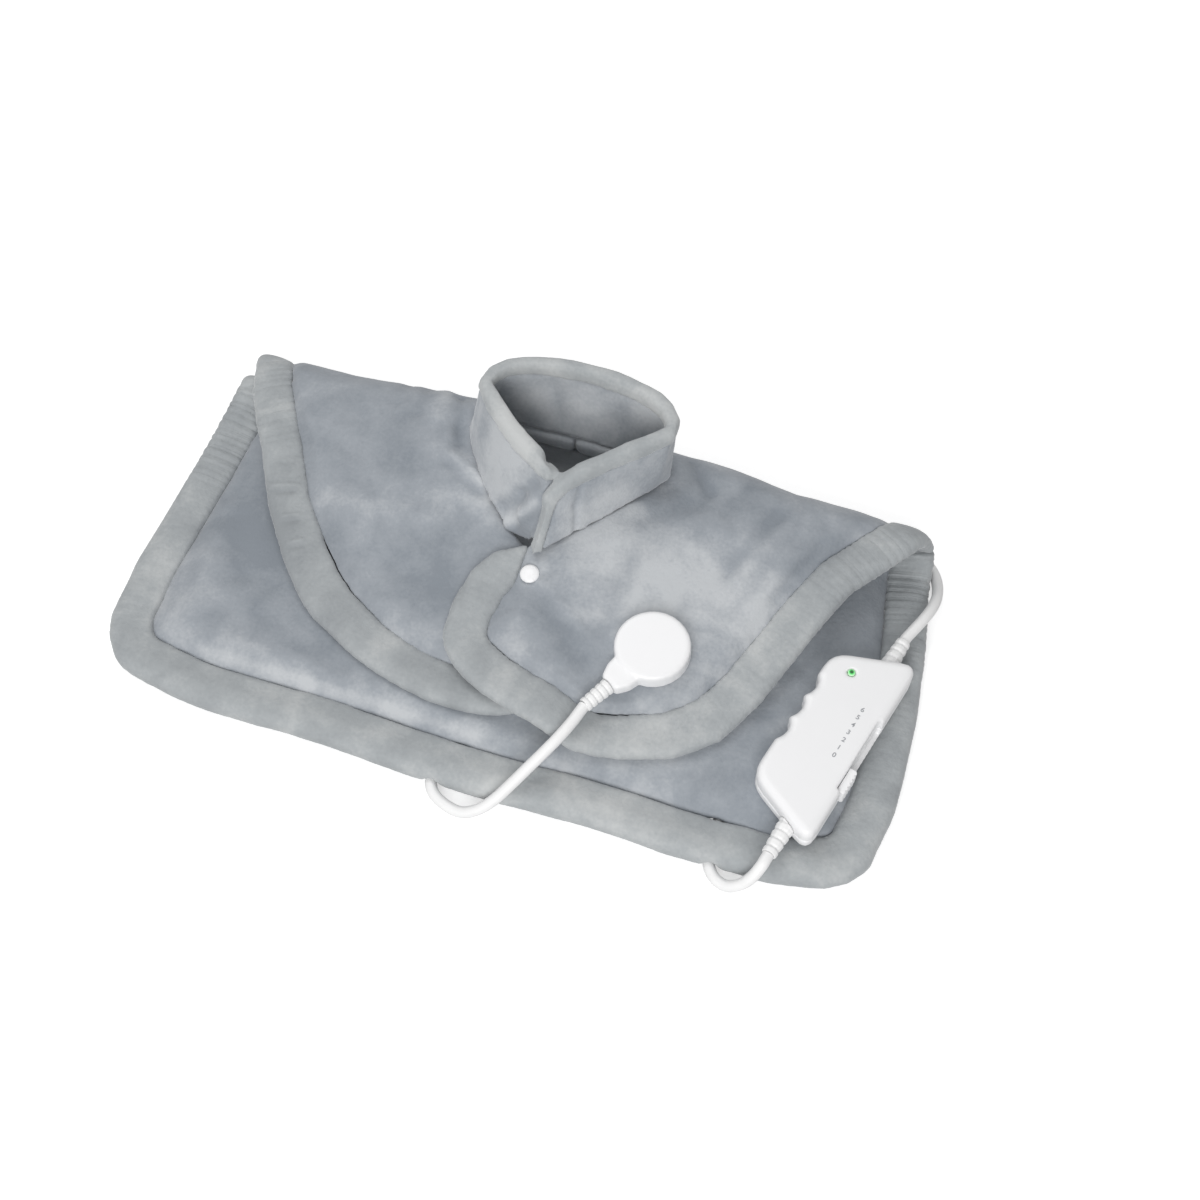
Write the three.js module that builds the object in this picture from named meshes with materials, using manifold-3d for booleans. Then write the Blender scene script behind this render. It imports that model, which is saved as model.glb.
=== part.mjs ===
// Heated neck and shoulder cape, folded at the shoulders, with a slide handset and a mains plug lying on it.
// Millimetres, +Z up, +X along the shoulder fold to the right, +Y from the front hem towards the fold.
import * as THREE from 'three';
import { mergeVertices } from 'three/addons/utils/BufferGeometryUtils.js';
import Module from 'manifold-3d';

const wasm = await Module();
wasm.setup();

// Clearances and working sizes
const gap = 0.3;
const weldDistance = 0.0005;
const overrun = 4;

// Back panel
const padWidth = 534;
const padDepth = 270;
const halfPad = padWidth / 2;
const halfDepth = padDepth / 2;
const foldShare = 0.944;
const halfFold = foldShare * halfPad;
// A place on the pad: shares of its half width and half depth, and a height where there is one
const onPlan = ([across, along, ...height]) => [across * halfPad, along * halfDepth, ...height];
const padThickness = 16;
const coverThickness = 9.6;
const wireGap = 2.4;
const crownThickness = 3.2;
const seamSink = 2.6;
const seamGap = 0.5;
const endLiftReach = 70;
const crownReach = 30;

// Shoulder fold
const foldHeight = 56;
const endLift = 0.26 * foldHeight;
const foldHeightShares = [[-1, 0.77], [-0.8, 0.87], [-0.33, 1], [0.33, 1], [0.7, 0.94], [1, 0.96]];
const foldRearShares = [
  [-1, 0.985], [-0.7, 0.96], [-0.33, 1], [0.33, 1], [0.62, 0.96], [0.86, 0.975], [1, 0.93],
];

// Front flaps
const flapThickness = 10.5;
const flapCoverThickness = 4.4;
const flapHemHeight = 27.5;
const flapHemLine = -0.7407 * halfDepth;
const flapSeamSink = 1.8;
const leftDrapePower = 3;
const rightDrapePower = 2.2;
const overlapEdge = 0.1723 * halfPad;
const overlapFade = 0.1199 * halfPad;
const overlapNeckLine = 0.4074 * halfDepth;
const stackClearance = 1.6;

// Edge tape
const tapeWidth = 0.105 * halfPad;
const backTapeThickness = 15;
const flapTapeThickness = 10;

// Neck opening and collar
const neckHalfWidth = 0.2622 * halfPad;
const neckCentre = onPlan([-0.015, 0.7407]);
const neckFrontDepth = 0.5926 * halfDepth;
const neckRearDepth = 0.1037 * halfDepth;
const neckFrontPower = 1.25;
const neckRearPower = 2.5;
const rimHalfWidth = 0.2397 * halfPad;
const rimCentre = onPlan([0.0131, 0.7259]);
const rimFrontDepth = 0.3852 * halfDepth;
const rimRearDepth = 0.237 * halfDepth;
const rimFrontPower = 1.1;
const rimRearPower = 2.2;
const rimHeight = 109.5;
const rimFrontDip = 4;
const collarThickness = 7;
const collarAngles = [-0.12, 2 * Math.PI + 0.35];
const collarEndRadius = 24;
const collarLap = 5.2;
const collarLapShare = 0.16;
const collarTapeWidth = 9;
const collarTapeThickness = 9.6;

// Heating wire
const wireDiameter = 1.6;
const flapWireStep = 11;
const backWireStep = 200;
const wireMargin = 24;
const seamSteps = 240;

// Snap fastener
const snapPlace = onPlan([0.015, 0.0259]);
const snapCapDiameter = 13;
const snapCapHeight = 2.6;
const snapPostDiameter = 3.2;
const snapRingDiameter = 9.5;
const snapFlangeThickness = 1;
const snapSocketThickness = 1.6;
const snapHoleDiameter = 4.4;
const snapStudDiameter = 3.6;

// Cords
const cordDiameter = 7.5;
const cordSides = 8;
const cordStep = 16;
const coilSides = 6;
const coilStepsPerTurn = 24;
const coilTurns = 4.5;
const coilMeanDiameter = 80;
const coilGap = 0.6;
const coilCentre = onPlan([0.4419, 0.3556]);
const coilFloorGap = 1.2;
const tieThickness = 0.8;
const tieWidth = 9;
const grooveClearance = 0.5;
const moundMargin = 2;
const moundFade = 18;
const moundFadeSteps = 4;
const moundSides = 24;

const handsetPlace = [0.8101 * halfPad, 95.9 - halfDepth];
// Hand-laid cord routes, between the ends that the parts give
const leadInLoop = [
  [-15.3, -94.3, 24.8], [-19, -100.9, 18.4], [-25, -104.9, 10.6], [-33.3, -106.1, 5.2],
  [-41.8, -102.4, 3.8], [-47.3, -94.4, 3.8],
].map(([x, y, z]) => [handsetPlace[0] + x, handsetPlace[1] + y, z]);
const leadInRoute = [
  [0.6266, -0.8963, 3.8], [0.6258, -0.7704, 3.8], [0.6258, -0.4444, 3.8], [0.6258, -0.0593, 3.8],
  [0.6258, 0.1037, 4.3],
].map(onPlan);
const leadOutRoute = [
  [0.2562, 0.1407, 11], [0.2494, 0.0444, 7.4], [0.2337, -0.0519, 4.3], [0.206, -0.163, 3.8],
  [0.1648, -0.3037, 3.8], [0.1086, -0.4889, 3.8], [0.0487, -0.6667, 3.8], [0, -0.8074, 3.8],
  [-0.0318, -0.9111, 3.8], [-0.0449, -1, 3.8], [-0.03, -1.0704, 3.8], [0.0094, -1.1148, 3.8],
  [0.0543, -1.1296, 4.6], [0.0955, -1.1037, 9.6], [0.1266, -1.0519, 16], [0.1547, -0.9741, 22.5],
  [0.182, -0.8889, 28.6], [0.2067, -0.8111, 34], [0.2285, -0.7296, 38], [0.2446, -0.6444, 39.6],
].map(onPlan);
const padLeadRoute = [
  [0.5693, 0.9704, 7.2], [0.6217, 0.9778, 4.6], [0.7116, 0.9852, 3.8], [0.8052, 0.9815, 3.8],
  [0.8764, 0.9704, 3.8], [0.9213, 0.9333, 4.2], [0.9494, 0.8704, 5.5], [0.9625, 0.8, 8.5],
  [0.9678, 0.7333, 12.5], [0.9685, 0.6667, 17], [0.9637, 0.5852, 21.5], [0.9498, 0.4889, 24.8],
].map(onPlan);

// Handset
const handsetTurn = -14;
const handsetWidth = 51.5;
const handsetThickness = 20.5;
const handsetEdgeRadius = 4;
const handsetWall = 2;
const handsetParting = 9.5;
const longSideCorner = 73.2;
const shortSideCorner = 51.1;
const longCornerRadius = 8;
const gripCornerRadius = 17;
const gripPitch = 18.3;
const gripDepth = 3.6;
const gripCount = 3;
const gripStart = 32.5;
const handsetCurveSteps = 4;

// Slide knob and its track
const slideTravel = 37.2;
const knobLength = 18;
const knobProud = 2.2;
const trackDepth = 3.4;
const trackFloor = 4;
const trackMiddle = -4.7;
const knobHeight = 12;
const knobRibs = 5;
const knobRibDepth = 0.7;
const stemThickness = 2.4;
const stemWidth = 7;
const stemReach = 12;

// Handset inside
const boardThickness = 1.6;
const boardHeight = 5;
const boardWidth = 22;
const boardLength = 86;
const boardRest = 4;
const boardMiddle = 2;
const switchWidth = 7;
const switchHeight = 7.4;
const switchSlotDepth = 4;
const switchEndWall = 2;
const lampDiameter = 5;
const lampFlange = 1;
const lampPlace = [-7.85, 43.2];
const lampProud = 0.6;
const screwDiameter = 2.9;
const screwHeadDiameter = 5.4;
const screwHeadThickness = 1.6;
const screwSink = 0.6;
const screwLength = 11;
const bossDiameter = 8.6;
const screwPlaces = [[14.5, 53], [14.5, -53], [-15, 32], [-15, -40]];

// Cord boots
const bootAxis = 8;
const bootRoot = 62;
const bootLength = 26;
const bootRootDiameter = 12.5;
const bootTipDiameter = 9.4;
const bootRibs = 4;
const bootSides = 12;
const bootRibDepth = 0.8;

// Plug
const plugPlace = onPlan([0.3614, -0.1815]);
const plugDiameter = 49;
const plugThickness = 13;
const plugEdgeRadius = 2.4;
const plugNeckLength = 37.5;
const plugNeckRootWidth = 25;
const plugNeckWidth = 21;
const plugNeckTipWidth = 13;
const plugNeckShoulder = 29;
const plugNeckThickness = 11;
const plugShoulderRadius = 7;
const plugTipRadius = 4;
const plugHeading = 241;
const plugTilt = 4.5;
const tilt = THREE.MathUtils.degToRad(plugTilt);
const plugRiseReach = 46;
const plugBootLength = 19.5;
const plugBootDiameter = 11;
const pinDiameter = 4.8;
const pinLength = 19;
const pinSpacing = 19;
const pinRoot = 7;
const pinPlaces = [1, -1].map((side) => {
  const across = THREE.MathUtils.degToRad(plugHeading + 90);
  const reach = side * pinSpacing / 2;
  return [plugPlace[0] + reach * Math.cos(across), plugPlace[1] + reach * Math.sin(across)];
});

// Lead gland and thermal cut-out
const glandPlace = onPlan([0.3596, 0.963, 8.5]);
const glandLength = 44;
const cutoutPlace = onPlan([-0.6142, 0.4296]);
const cutoutSize = [22, 9, 4.6];

// Colours
const plush = { color: 0x9ba0a6, roughness: 0.95, metalness: 0 };
const plushLight = { color: 0xadb0b4, roughness: 0.95, metalness: 0 };
const plushInside = { color: 0x8f9498, roughness: 0.95, metalness: 0 };
const whitePlastic = { color: 0xeaeaeb, roughness: 0.4, metalness: 0 };
const whiteCord = { color: 0xe6e6e6, roughness: 0.5, metalness: 0 };
const wireCoat = { color: 0xe8e0d0, roughness: 0.5, metalness: 0 };
const plated = { color: 0xc9ccd0, roughness: 0.25, metalness: 1 };
const boardGreen = { color: 0x2f6b4a, roughness: 0.5, metalness: 0 };
const darkPlastic = { color: 0x2a2c30, roughness: 0.5, metalness: 0 };
const lampGreen = { color: 0x35a04a, roughness: 0.2, metalness: 0 };
const strapGrey = { color: 0x55585c, roughness: 0.8, metalness: 0 };

const model = new THREE.Group();
const cordParts = new Set();

// Small helpers
function ease(from, to, at) {
  return THREE.MathUtils.smoothstep(at, from, to);
}

function tableValue(table, at) {
  const last = table[table.length - 1];
  if (at <= table[0][0]) return table[0][1];
  for (let row = 1; row < table.length; row++) {
    if (at <= table[row][0]) {
      const share = ease(table[row - 1][0], table[row][0], at);
      return THREE.MathUtils.lerp(table[row - 1][1], table[row][1], share);
    }
  }
  return last[1];
}

function signedVolume(points, faces) {
  let sum = 0;
  for (const [a, b, c] of faces) {
    const [p, q, r] = [points[a], points[b], points[c]];
    sum += p[0] * (q[1] * r[2] - q[2] * r[1]);
    sum += p[1] * (q[2] * r[0] - q[0] * r[2]);
    sum += p[2] * (q[0] * r[1] - q[1] * r[0]);
  }
  return sum;
}

function meshFrom(points, faces) {
  const inward = signedVolume(points, faces) < 0;
  const order = faces.map(([a, b, c]) => (inward ? [a, c, b] : [a, b, c]));
  const geometry = new THREE.BufferGeometry();
  geometry.setAttribute('position', new THREE.Float32BufferAttribute(points.flat(), 3));
  geometry.setIndex(order.flat());
  return geometry;
}

// A closed slab between two surfaces that share one grid of places.
function slab(grid, nearSide, farSide) {
  const faces = [];
  const [rows, columns] = [grid.length - 1, grid[0].length - 1];
  const across = columns + 1;
  const sheet = across * (rows + 1);
  const points = [nearSide, farSide].flatMap((side) => grid.flat().map((place) => side(place)));
  const at = (i, j, far) => far * sheet + j * across + i;
  const quad = (a, b, c, d) => faces.push([a, b, c], [a, c, d]);
  for (let j = 0; j < rows; j++) {
    for (let i = 0; i < columns; i++) {
      quad(at(i, j, 0), at(i + 1, j, 0), at(i + 1, j + 1, 0), at(i, j + 1, 0));
      quad(at(i, j, 1), at(i, j + 1, 1), at(i + 1, j + 1, 1), at(i + 1, j, 1));
    }
  }
  for (let i = 0; i < columns; i++) {
    quad(at(i + 1, 0, 0), at(i, 0, 0), at(i, 0, 1), at(i + 1, 0, 1));
    quad(at(i, rows, 0), at(i + 1, rows, 0), at(i + 1, rows, 1), at(i, rows, 1));
  }
  for (let j = 0; j < rows; j++) {
    quad(at(0, j, 0), at(0, j + 1, 0), at(0, j + 1, 1), at(0, j, 1));
    quad(at(columns, j + 1, 0), at(columns, j, 0), at(columns, j, 1), at(columns, j + 1, 1));
  }
  return meshFrom(points, faces);
}

// A closed solid through rings of equally many points, capped by fans.
function loft(rings) {
  const points = rings.flat();
  const faces = [];
  const count = rings[0].length;
  const lastRing = (rings.length - 1) * count;
  for (let r = 0; r < rings.length - 1; r++) {
    for (let i = 0; i < count; i++) {
      const next = (i + 1) % count;
      const [a, b] = [r * count + i, r * count + next];
      faces.push([a, b, b + count], [a, b + count, a + count]);
    }
  }
  for (let i = 1; i < count - 1; i++) {
    faces.push([0, i + 1, i], [lastRing, lastRing + i, lastRing + i + 1]);
  }
  return meshFrom(points, faces);
}

// Joins equal corners, leaves out faces without area and turns the rest outwards.
function welded(geometry) {
  const bare = geometry.clone();
  bare.deleteAttribute('normal');
  bare.deleteAttribute('uv');
  const merged = mergeVertices(bare, weldDistance);
  const { array } = merged.attributes.position;
  const three = (list, i) => Array.from(list.slice(3 * i, 3 * i + 3));
  const threes = (list) => Array.from({ length: list.length / 3 }, (_, i) => three(list, i));
  const points = threes(array);
  const corners = merged.index.array;
  const faces = threes(corners);
  return meshFrom(points, faces.filter(([a, b, c]) => a !== b && b !== c && c !== a));
}

function toSolid(geometry) {
  const closed = welded(geometry);
  return new wasm.Manifold(new wasm.Mesh({
    numProp: 3,
    vertProperties: new Float32Array(closed.attributes.position.array),
    triVerts: new Uint32Array(closed.index.array),
  }));
}

function toGeometry(solid) {
  const mesh = solid.getMesh();
  const geometry = new THREE.BufferGeometry();
  geometry.setAttribute('position', new THREE.Float32BufferAttribute(mesh.vertProperties, 3));
  geometry.setIndex(Array.from(mesh.triVerts));
  return geometry;
}

function cut(geometry, ...tools) {
  return toGeometry(tools.reduce((solid, tool) => solid.subtract(toSolid(tool)), toSolid(geometry)));
}

function join(geometry, ...others) {
  return toGeometry(others.reduce((solid, other) => solid.add(toSolid(other)), toSolid(geometry)));
}

function keepInside(geometry, tool) {
  return toGeometry(toSolid(geometry).intersect(toSolid(tool)));
}

function box(low, high) {
  const size = high.map((value, i) => value - low[i]);
  const middle = high.map((value, i) => (value + low[i]) / 2);
  return new THREE.BoxGeometry(...size).translate(...middle);
}

// An upright cylinder standing on a height.
function post(x, y, low, high, diameter, sides = 12) {
  const cylinder = new THREE.CylinderGeometry(diameter / 2, diameter / 2, high - low, sides);
  return cylinder.rotateX(Math.PI / 2).translate(x, y, (low + high) / 2);
}

function revolve(profile, sides) {
  const points = profile.map(([radius, height]) => new THREE.Vector2(radius, height));
  return new THREE.LatheGeometry(points, sides).rotateX(Math.PI / 2);
}

// Lays a piece that was built along +Z so that it runs from a place in a direction.
function lay(geometry, from, direction) {
  const upright = new THREE.Vector3(0, 0, 1);
  const heading = new THREE.Vector3(...direction).normalize();
  const turn = new THREE.Quaternion().setFromUnitVectors(upright, heading);
  return geometry.clone().applyQuaternion(turn).translate(...from);
}

// The heights at which an upright line meets a piece, the highest first
function levels(geometry, x, y) {
  const target = new THREE.Mesh(geometry, new THREE.MeshBasicMaterial({ side: THREE.DoubleSide }));
  const start = new THREE.Vector3(x, y, 2 * rimHeight);
  const ray = new THREE.Raycaster(start, new THREE.Vector3(0, 0, -1));
  return ray.intersectObject(target).map((meeting) => meeting.point.z);
}

// An outline with rounded corners, each given as x, y and radius
function roundedShape(corners) {
  const shape = new THREE.Shape();
  corners.forEach(([x, y, radius], index) => {
    const corner = new THREE.Vector2(x, y);
    const before = new THREE.Vector2(...corners.at(index - 1)).sub(corner);
    const after = new THREE.Vector2(...corners[(index + 1) % corners.length]).sub(corner);
    const half = Math.acos(before.clone().normalize().dot(after.clone().normalize())) / 2;
    const reach = radius / Math.tan(half);
    const entry = corner.clone().addScaledVector(before.normalize(), reach);
    const leave = corner.clone().addScaledVector(after.normalize(), reach);
    if (index === 0) shape.moveTo(entry.x, entry.y);
    else shape.lineTo(entry.x, entry.y);
    if (radius > 0) shape.quadraticCurveTo(corner.x, corner.y, leave.x, leave.y);
  });
  return shape;
}

function add(name, geometry, look) {
  const mesh = new THREE.Mesh(welded(geometry), new THREE.MeshStandardMaterial(look));
  mesh.name = name;
  model.add(mesh);
  return mesh;
}

function addCord(name, geometry, look) {
  add(name, geometry, look);
  cordParts.add(name);
}

// The folded cape: its shoulder line is s = 0, and s falls towards the front hem on both sides of the fold.
const foldRadius = (x) => foldHeight / 2 * tableValue(foldHeightShares, x / halfFold);
const foldRear = (x) => padDepth / 2 * tableValue(foldRearShares, x / halfFold);
const foldAxis = (x) => foldRear(x) - foldRadius(x);
const shoulder = (x) => foldAxis(x) + foldRadius(x) * Math.PI / 2;

// The gathered left end of the hem is drawn up off the floor before it turns over the fold.
function drawnUp(x, beyond) {
  const across = ease(halfFold - endLiftReach, halfFold, -x);
  const along = ease(-endLiftReach, 0, beyond) * (1 - ease(0, endLiftReach / 2, beyond));
  return endLift * across * along;
}

function backPoint(x, s, depth) {
  const radius = foldRadius(x);
  const beyond = s + shoulder(x) - foldAxis(x);
  if (beyond <= 0) return [x, foldAxis(x) + beyond, depth + drawnUp(x, beyond)];
  const angle = beyond / radius;
  return [x, foldAxis(x) + (radius - depth) * Math.sin(angle), radius - (radius - depth) * Math.cos(angle)];
}

function drapeHeight(x, y, power) {
  const share = THREE.MathUtils.clamp((y - flapHemLine) / (foldAxis(x) - flapHemLine), 0, 1);
  return flapHemHeight + (2 * foldRadius(x) - flapHemHeight) * Math.sin(share * Math.PI / 2) ** power;
}

function leftTop(x, y) {
  return drapeHeight(x, y, leftDrapePower);
}

// The right flap lies on the left one, clears the mound over the coil, and is propped where the plug stands.
function rightTop(x, y) {
  const beside = 1 - ease(overlapEdge, overlapEdge + overlapFade, x);
  const below = 1 - ease(overlapNeckLine, foldAxis(x), y);
  const stacked = leftTop(x, y) + flapThickness + stackClearance;
  const fromPlug = Math.hypot(x - plugPlace[0], y - plugPlace[1]);
  const fromCoil = Math.hypot(x - coilCentre[0], y - coilCentre[1]);
  const pinReach = ([px, py]) => Math.hypot(px - coilCentre[0], py - coilCentre[1]);
  const pinToCoil = Math.min(...pinPlaces.map(pinReach));
  const under = padThickness + moundAt(pinToCoil - pinDiameter / 2);
  const lowest = under + pinLength + stackClearance + pinSpacing / 2 * Math.sin(tilt);
  const lack = Math.max(lowest - drapeHeight(...plugPlace, rightDrapePower), 0);
  const propped = lack * (1 - ease(plugDiameter / 2, plugRiseReach, fromPlug));
  const overMound = padThickness + moundAt(fromCoil) + flapThickness + stackClearance;
  const draped = drapeHeight(x, y, rightDrapePower) + propped;
  const free = moundAt(fromCoil) > 0 ? Math.max(draped, overMound) : draped;
  return THREE.MathUtils.lerp(free, stacked, beside * below);
}

function flapPoint(top, x, s, depth) {
  const radius = foldRadius(x);
  const beyond = s + shoulder(x) - foldAxis(x);
  if (beyond <= 0) {
    const y = foldAxis(x) + beyond;
    return [x, y, top(x, y) - depth];
  }
  const angle = beyond / radius;
  return [x, foldAxis(x) + (radius - depth) * Math.sin(angle), radius + (radius - depth) * Math.cos(angle)];
}

// Hems are drawn in the plan as shares of half the pad, and then measured back from the shoulder line.
const backHemShares = [
  [-0.968, 'fold'], [-0.974, 0.72], [-0.986, 0.44], [-0.987, 0.1], [-0.984, -0.4], [-0.968, -0.72],
  [-0.905, -0.92], [-0.8, -0.995], [-0.5, -1.03], [0.05, -1.035], [0.62, -1.01],
  [0.78, -0.997], [0.9, -0.94], [0.98, -0.79], [1.004, -0.48], [0.996, 0.05], [0.975, 0.4], [0.95, 0.68],
  [0.932, 'fold'],
];
const leftHemShares = [
  [-0.968, 'fold'], [-0.9, 0.66], [-0.79, 0.32], [-0.705, 0.03], [-0.595, -0.24], [-0.478, -0.45],
  [-0.34, -0.585], [-0.19, -0.675], [-0.055, -0.7], [0.06, -0.66], [0.135, -0.56], [0.168, -0.4],
  [0.165, -0.2], [0.12, -0.02], [0.06, 0.12], [-0.0145, 0.16],
];
const rightHemShares = [
  [0.932, 'fold'], [0.875, 0.72], [0.765, 0.43], [0.69, 0.06], [0.635, -0.235], [0.575, -0.46],
  [0.48, -0.615], [0.368, -0.69], [0.25, -0.73], [0.145, -0.69], [0.01, -0.62], [-0.085, -0.52],
  [-0.135, -0.39], [-0.142, -0.21], [-0.127, -0.04], [-0.091, 0.08], [-0.0155, 0.16],
];

// Steps in each interval of a hem: its side, its front and, on a flap, the tab that runs up to the neck
const backSideSteps = [4, 1, 1, 2, 1, 2];
const backFrontSteps = [3, 3, 5, 5, 3, 3];
const leftSideSteps = [4, 2, 1, 1, 2, 1];
const leftFrontSteps = [2, 2, 2, 2, 2];
const rightSideSteps = [4, 1, 2, 1, 1, 1, 1];
const rightFrontSteps = [2, 2, 2, 2, 2];
const tabSteps = [1, 1, 1, 1];
const foldSteps = 4;

function stations(steps) {
  const marks = [0];
  steps.forEach((count, interval) => {
    for (let n = 1; n <= count; n++) marks.push((interval + n / count) / steps.length);
  });
  return marks;
}

// A hem holds its outer edge and its sewn seam, as matching splines.
const pair = (point) => [point.x, Math.min(point.y, -gap / 2)];

function hem(shares, inwardSide, endsAtNeck) {
  const last = shares.length - 1;
  const places = shares.map(([across, along]) => {
    const x = across * halfPad;
    return new THREE.Vector2(x, along === 'fold' ? -gap / 2 : along * halfDepth - shoulder(x));
  });
  const outer = new THREE.SplineCurve(places);
  const inward = places.map((place, index) => {
    if (shares[index][1] === 'fold') return new THREE.Vector2(-Math.sign(place.x), 0);
    if (endsAtNeck && index === last) return new THREE.Vector2(0, -1);
    const along = outer.getTangent(index / last);
    return new THREE.Vector2(-along.y, along.x).multiplyScalar(inwardSide);
  });
  const seam = places.map((place, index) => place.clone().addScaledVector(inward[index], tapeWidth));
  return { outer, seam: new THREE.SplineCurve(seam) };
}

// The edge of the panel inside a hem: stations of the seam, moved inwards by a gap for the turned edge
function panelEdge(edges, marks, inwardSide) {
  return marks.map((mark) => {
    const along = edges.seam.getTangent(mark);
    const inward = new THREE.Vector2(-along.y, along.x).multiplyScalar(inwardSide * seamGap);
    return pair(edges.seam.getPoint(mark).add(inward));
  });
}

// The rounded section of the folded tape, as shares of its width and thickness
const tapeSectionShares = [
  [0, 0.34], [0.1, 0.08], [0.42, 0], [1, 0.22], [1, 0.78], [0.42, 1], [0.1, 0.92], [0, 0.66],
];

function tape(edges, marks, place) {
  return loft(marks.map((mark) => {
    const [edge, inner] = [edges.outer.getPoint(mark), edges.seam.getPoint(mark)];
    return tapeSectionShares.map(([across, down]) => {
      const at = edge.clone().lerp(inner, across);
      return place(at.x, Math.min(at.y, -gap), down);
    });
  }));
}

// Places down the middle of the cape, from the shoulder line to a flap's end at the neck: first in step
// with the side over the fold, and then evenly
function middleLine(from, to, side, steps) {
  const places = side.slice(0, foldSteps + 1).map((place) => [from[0], place[1]]);
  const start = places[foldSteps];
  for (let step = foldSteps + 1; step <= steps; step++) {
    const share = (step - foldSteps) / (steps - foldSteps);
    places.push([0, 1].map((k) => THREE.MathUtils.lerp(start[k], to[k], share)));
  }
  return places;
}

// A panel's grid is blended between its shoulder line, its two sides and its front, station by station.
function panelGrid(side, front, otherSide) {
  const { lerp } = THREE.MathUtils;
  const [end, otherEnd] = [side.at(-1), otherSide.at(-1)];
  return side.map((place, j) => {
    const downs = [[side, place], [otherSide, otherSide[j]]].map(([list, at]) => {
      return (at[1] - list[0][1]) / (list.at(-1)[1] - list[0][1]);
    });
    const down = (downs[0] + downs[1]) / 2;
    return front.map((frontPlace, i) => [0, 1].map((k) => {
      const over = i / (front.length - 1);
      const rear = lerp(side[0][k], otherSide[0][k], over);
      const along = lerp(place[k], otherSide[j][k], over);
      return lerp(rear, frontPlace[k], down) + along - lerp(rear, lerp(end[k], otherEnd[k], over), down);
    }));
  });
}

function awayFrom(curve) {
  const marks = curve.getPoints(90);
  return (x, s) => Math.min(...marks.map((mark) => Math.hypot(mark.x - x, mark.y - s)));
}

// One layer of a panel: each face has its own depth below the outer surface, and sinks towards the seam.
function layer(grid, away, place, near, far) {
  const face = ({ depth, sink }) => ([x, s]) => {
    const flatness = 1 - ease(0, crownReach, away(x, s));
    return place(x, s, depth + sink * flatness);
  };
  return slab(grid, face(near), face(far));
}

// A tube along a smooth route
function route(points) {
  return new THREE.CatmullRomCurve3(points.map((point) => new THREE.Vector3(...point)));
}

function tube(path, diameter, sides, steps) {
  const circle = new THREE.Shape();
  for (let i = 0; i < sides; i++) {
    const angle = (i + 0.5) * 2 * Math.PI / sides;
    const corner = [diameter / 2 * Math.cos(angle), diameter / 2 * Math.sin(angle)];
    if (i === 0) circle.moveTo(...corner);
    else circle.lineTo(...corner);
  }
  return new THREE.ExtrudeGeometry(circle, { steps, bevelEnabled: false, extrudePath: path });
}

function cordAlong(path) {
  return tube(path, cordDiameter, cordSides, Math.ceil(path.getLength() / cordStep));
}

// Coil of mains cord under the pad: inwards on the lower layer, up, and outwards on the upper layer
const coilPitch = cordDiameter + coilGap;
const coilSpread = coilPitch * coilTurns / 4;
const coilStartRadius = coilMeanDiameter / 2 + coilSpread;
const coilOuterRadius = coilStartRadius + cordDiameter / 2;
const coilInnerRadius = coilMeanDiameter / 2 - coilSpread - cordDiameter / 2;
const coilFloor = coilFloorGap + cordDiameter / 2;
const coilTop = coilFloorGap + 2 * cordDiameter + coilGap;

function coilPoint(turn) {
  const half = coilTurns / 2;
  const radius = coilMeanDiameter / 2 + coilPitch * (Math.abs(turn - half) - half / 2);
  const angle = turn * 2 * Math.PI;
  const climb = ease(half - 0.25, half + 0.25, turn);
  const [x, y] = [coilCentre[0] + radius * Math.cos(angle), coilCentre[1] + radius * Math.sin(angle)];
  return [x, y, coilFloor + coilPitch * climb];
}

const coilWindings = [];
for (let step = 0; step <= coilTurns * coilStepsPerTurn; step++) {
  coilWindings.push(coilPoint(step / coilStepsPerTurn));
}
const [coilStart, coilEnd] = [coilWindings[0], coilWindings.at(-1)];
const below = ([x, y, z], distance) => [x, y - distance, z];
const coilPath = route([below(coilStart, cordDiameter), ...coilWindings, below(coilEnd, cordDiameter)]);

function leastCoilGap() {
  let least = Infinity;
  coilWindings.forEach((one, i) => coilWindings.forEach((other, k) => {
    if (k - i < coilStepsPerTurn / 2) return;
    least = Math.min(least, Math.hypot(...one.map((value, axis) => value - other[axis])));
  }));
  return least - cordDiameter;
}
console.log(`least gap between coil windings: ${leastCoilGap().toFixed(3)}`);

const recessRadius = coilOuterRadius + tieThickness + 2 * gap;
const recessHeight = coilTop + tieThickness + 2 * gap;
const moundHeight = recessHeight + crownThickness - coverThickness;

// The pad rises in a low mound over the coil: a solid from a height up to a surface that the mound lifts.
const moundFlat = recessRadius / Math.cos(Math.PI / moundSides) + moundMargin;
const moundAt = (away) => moundHeight * (1 - ease(moundFlat, moundFlat + moundFade, away));

function mound(low, surface) {
  const profile = [[0, low], [moundFlat + moundFade, low]];
  for (let step = 0; step <= moundFadeSteps; step++) {
    const away = moundFlat + moundFade * (1 - step / moundFadeSteps);
    profile.push([away, surface + moundAt(away)]);
  }
  profile.push([0, surface + moundHeight]);
  return revolve(profile, moundSides).translate(...coilCentre, 0);
}

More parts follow.
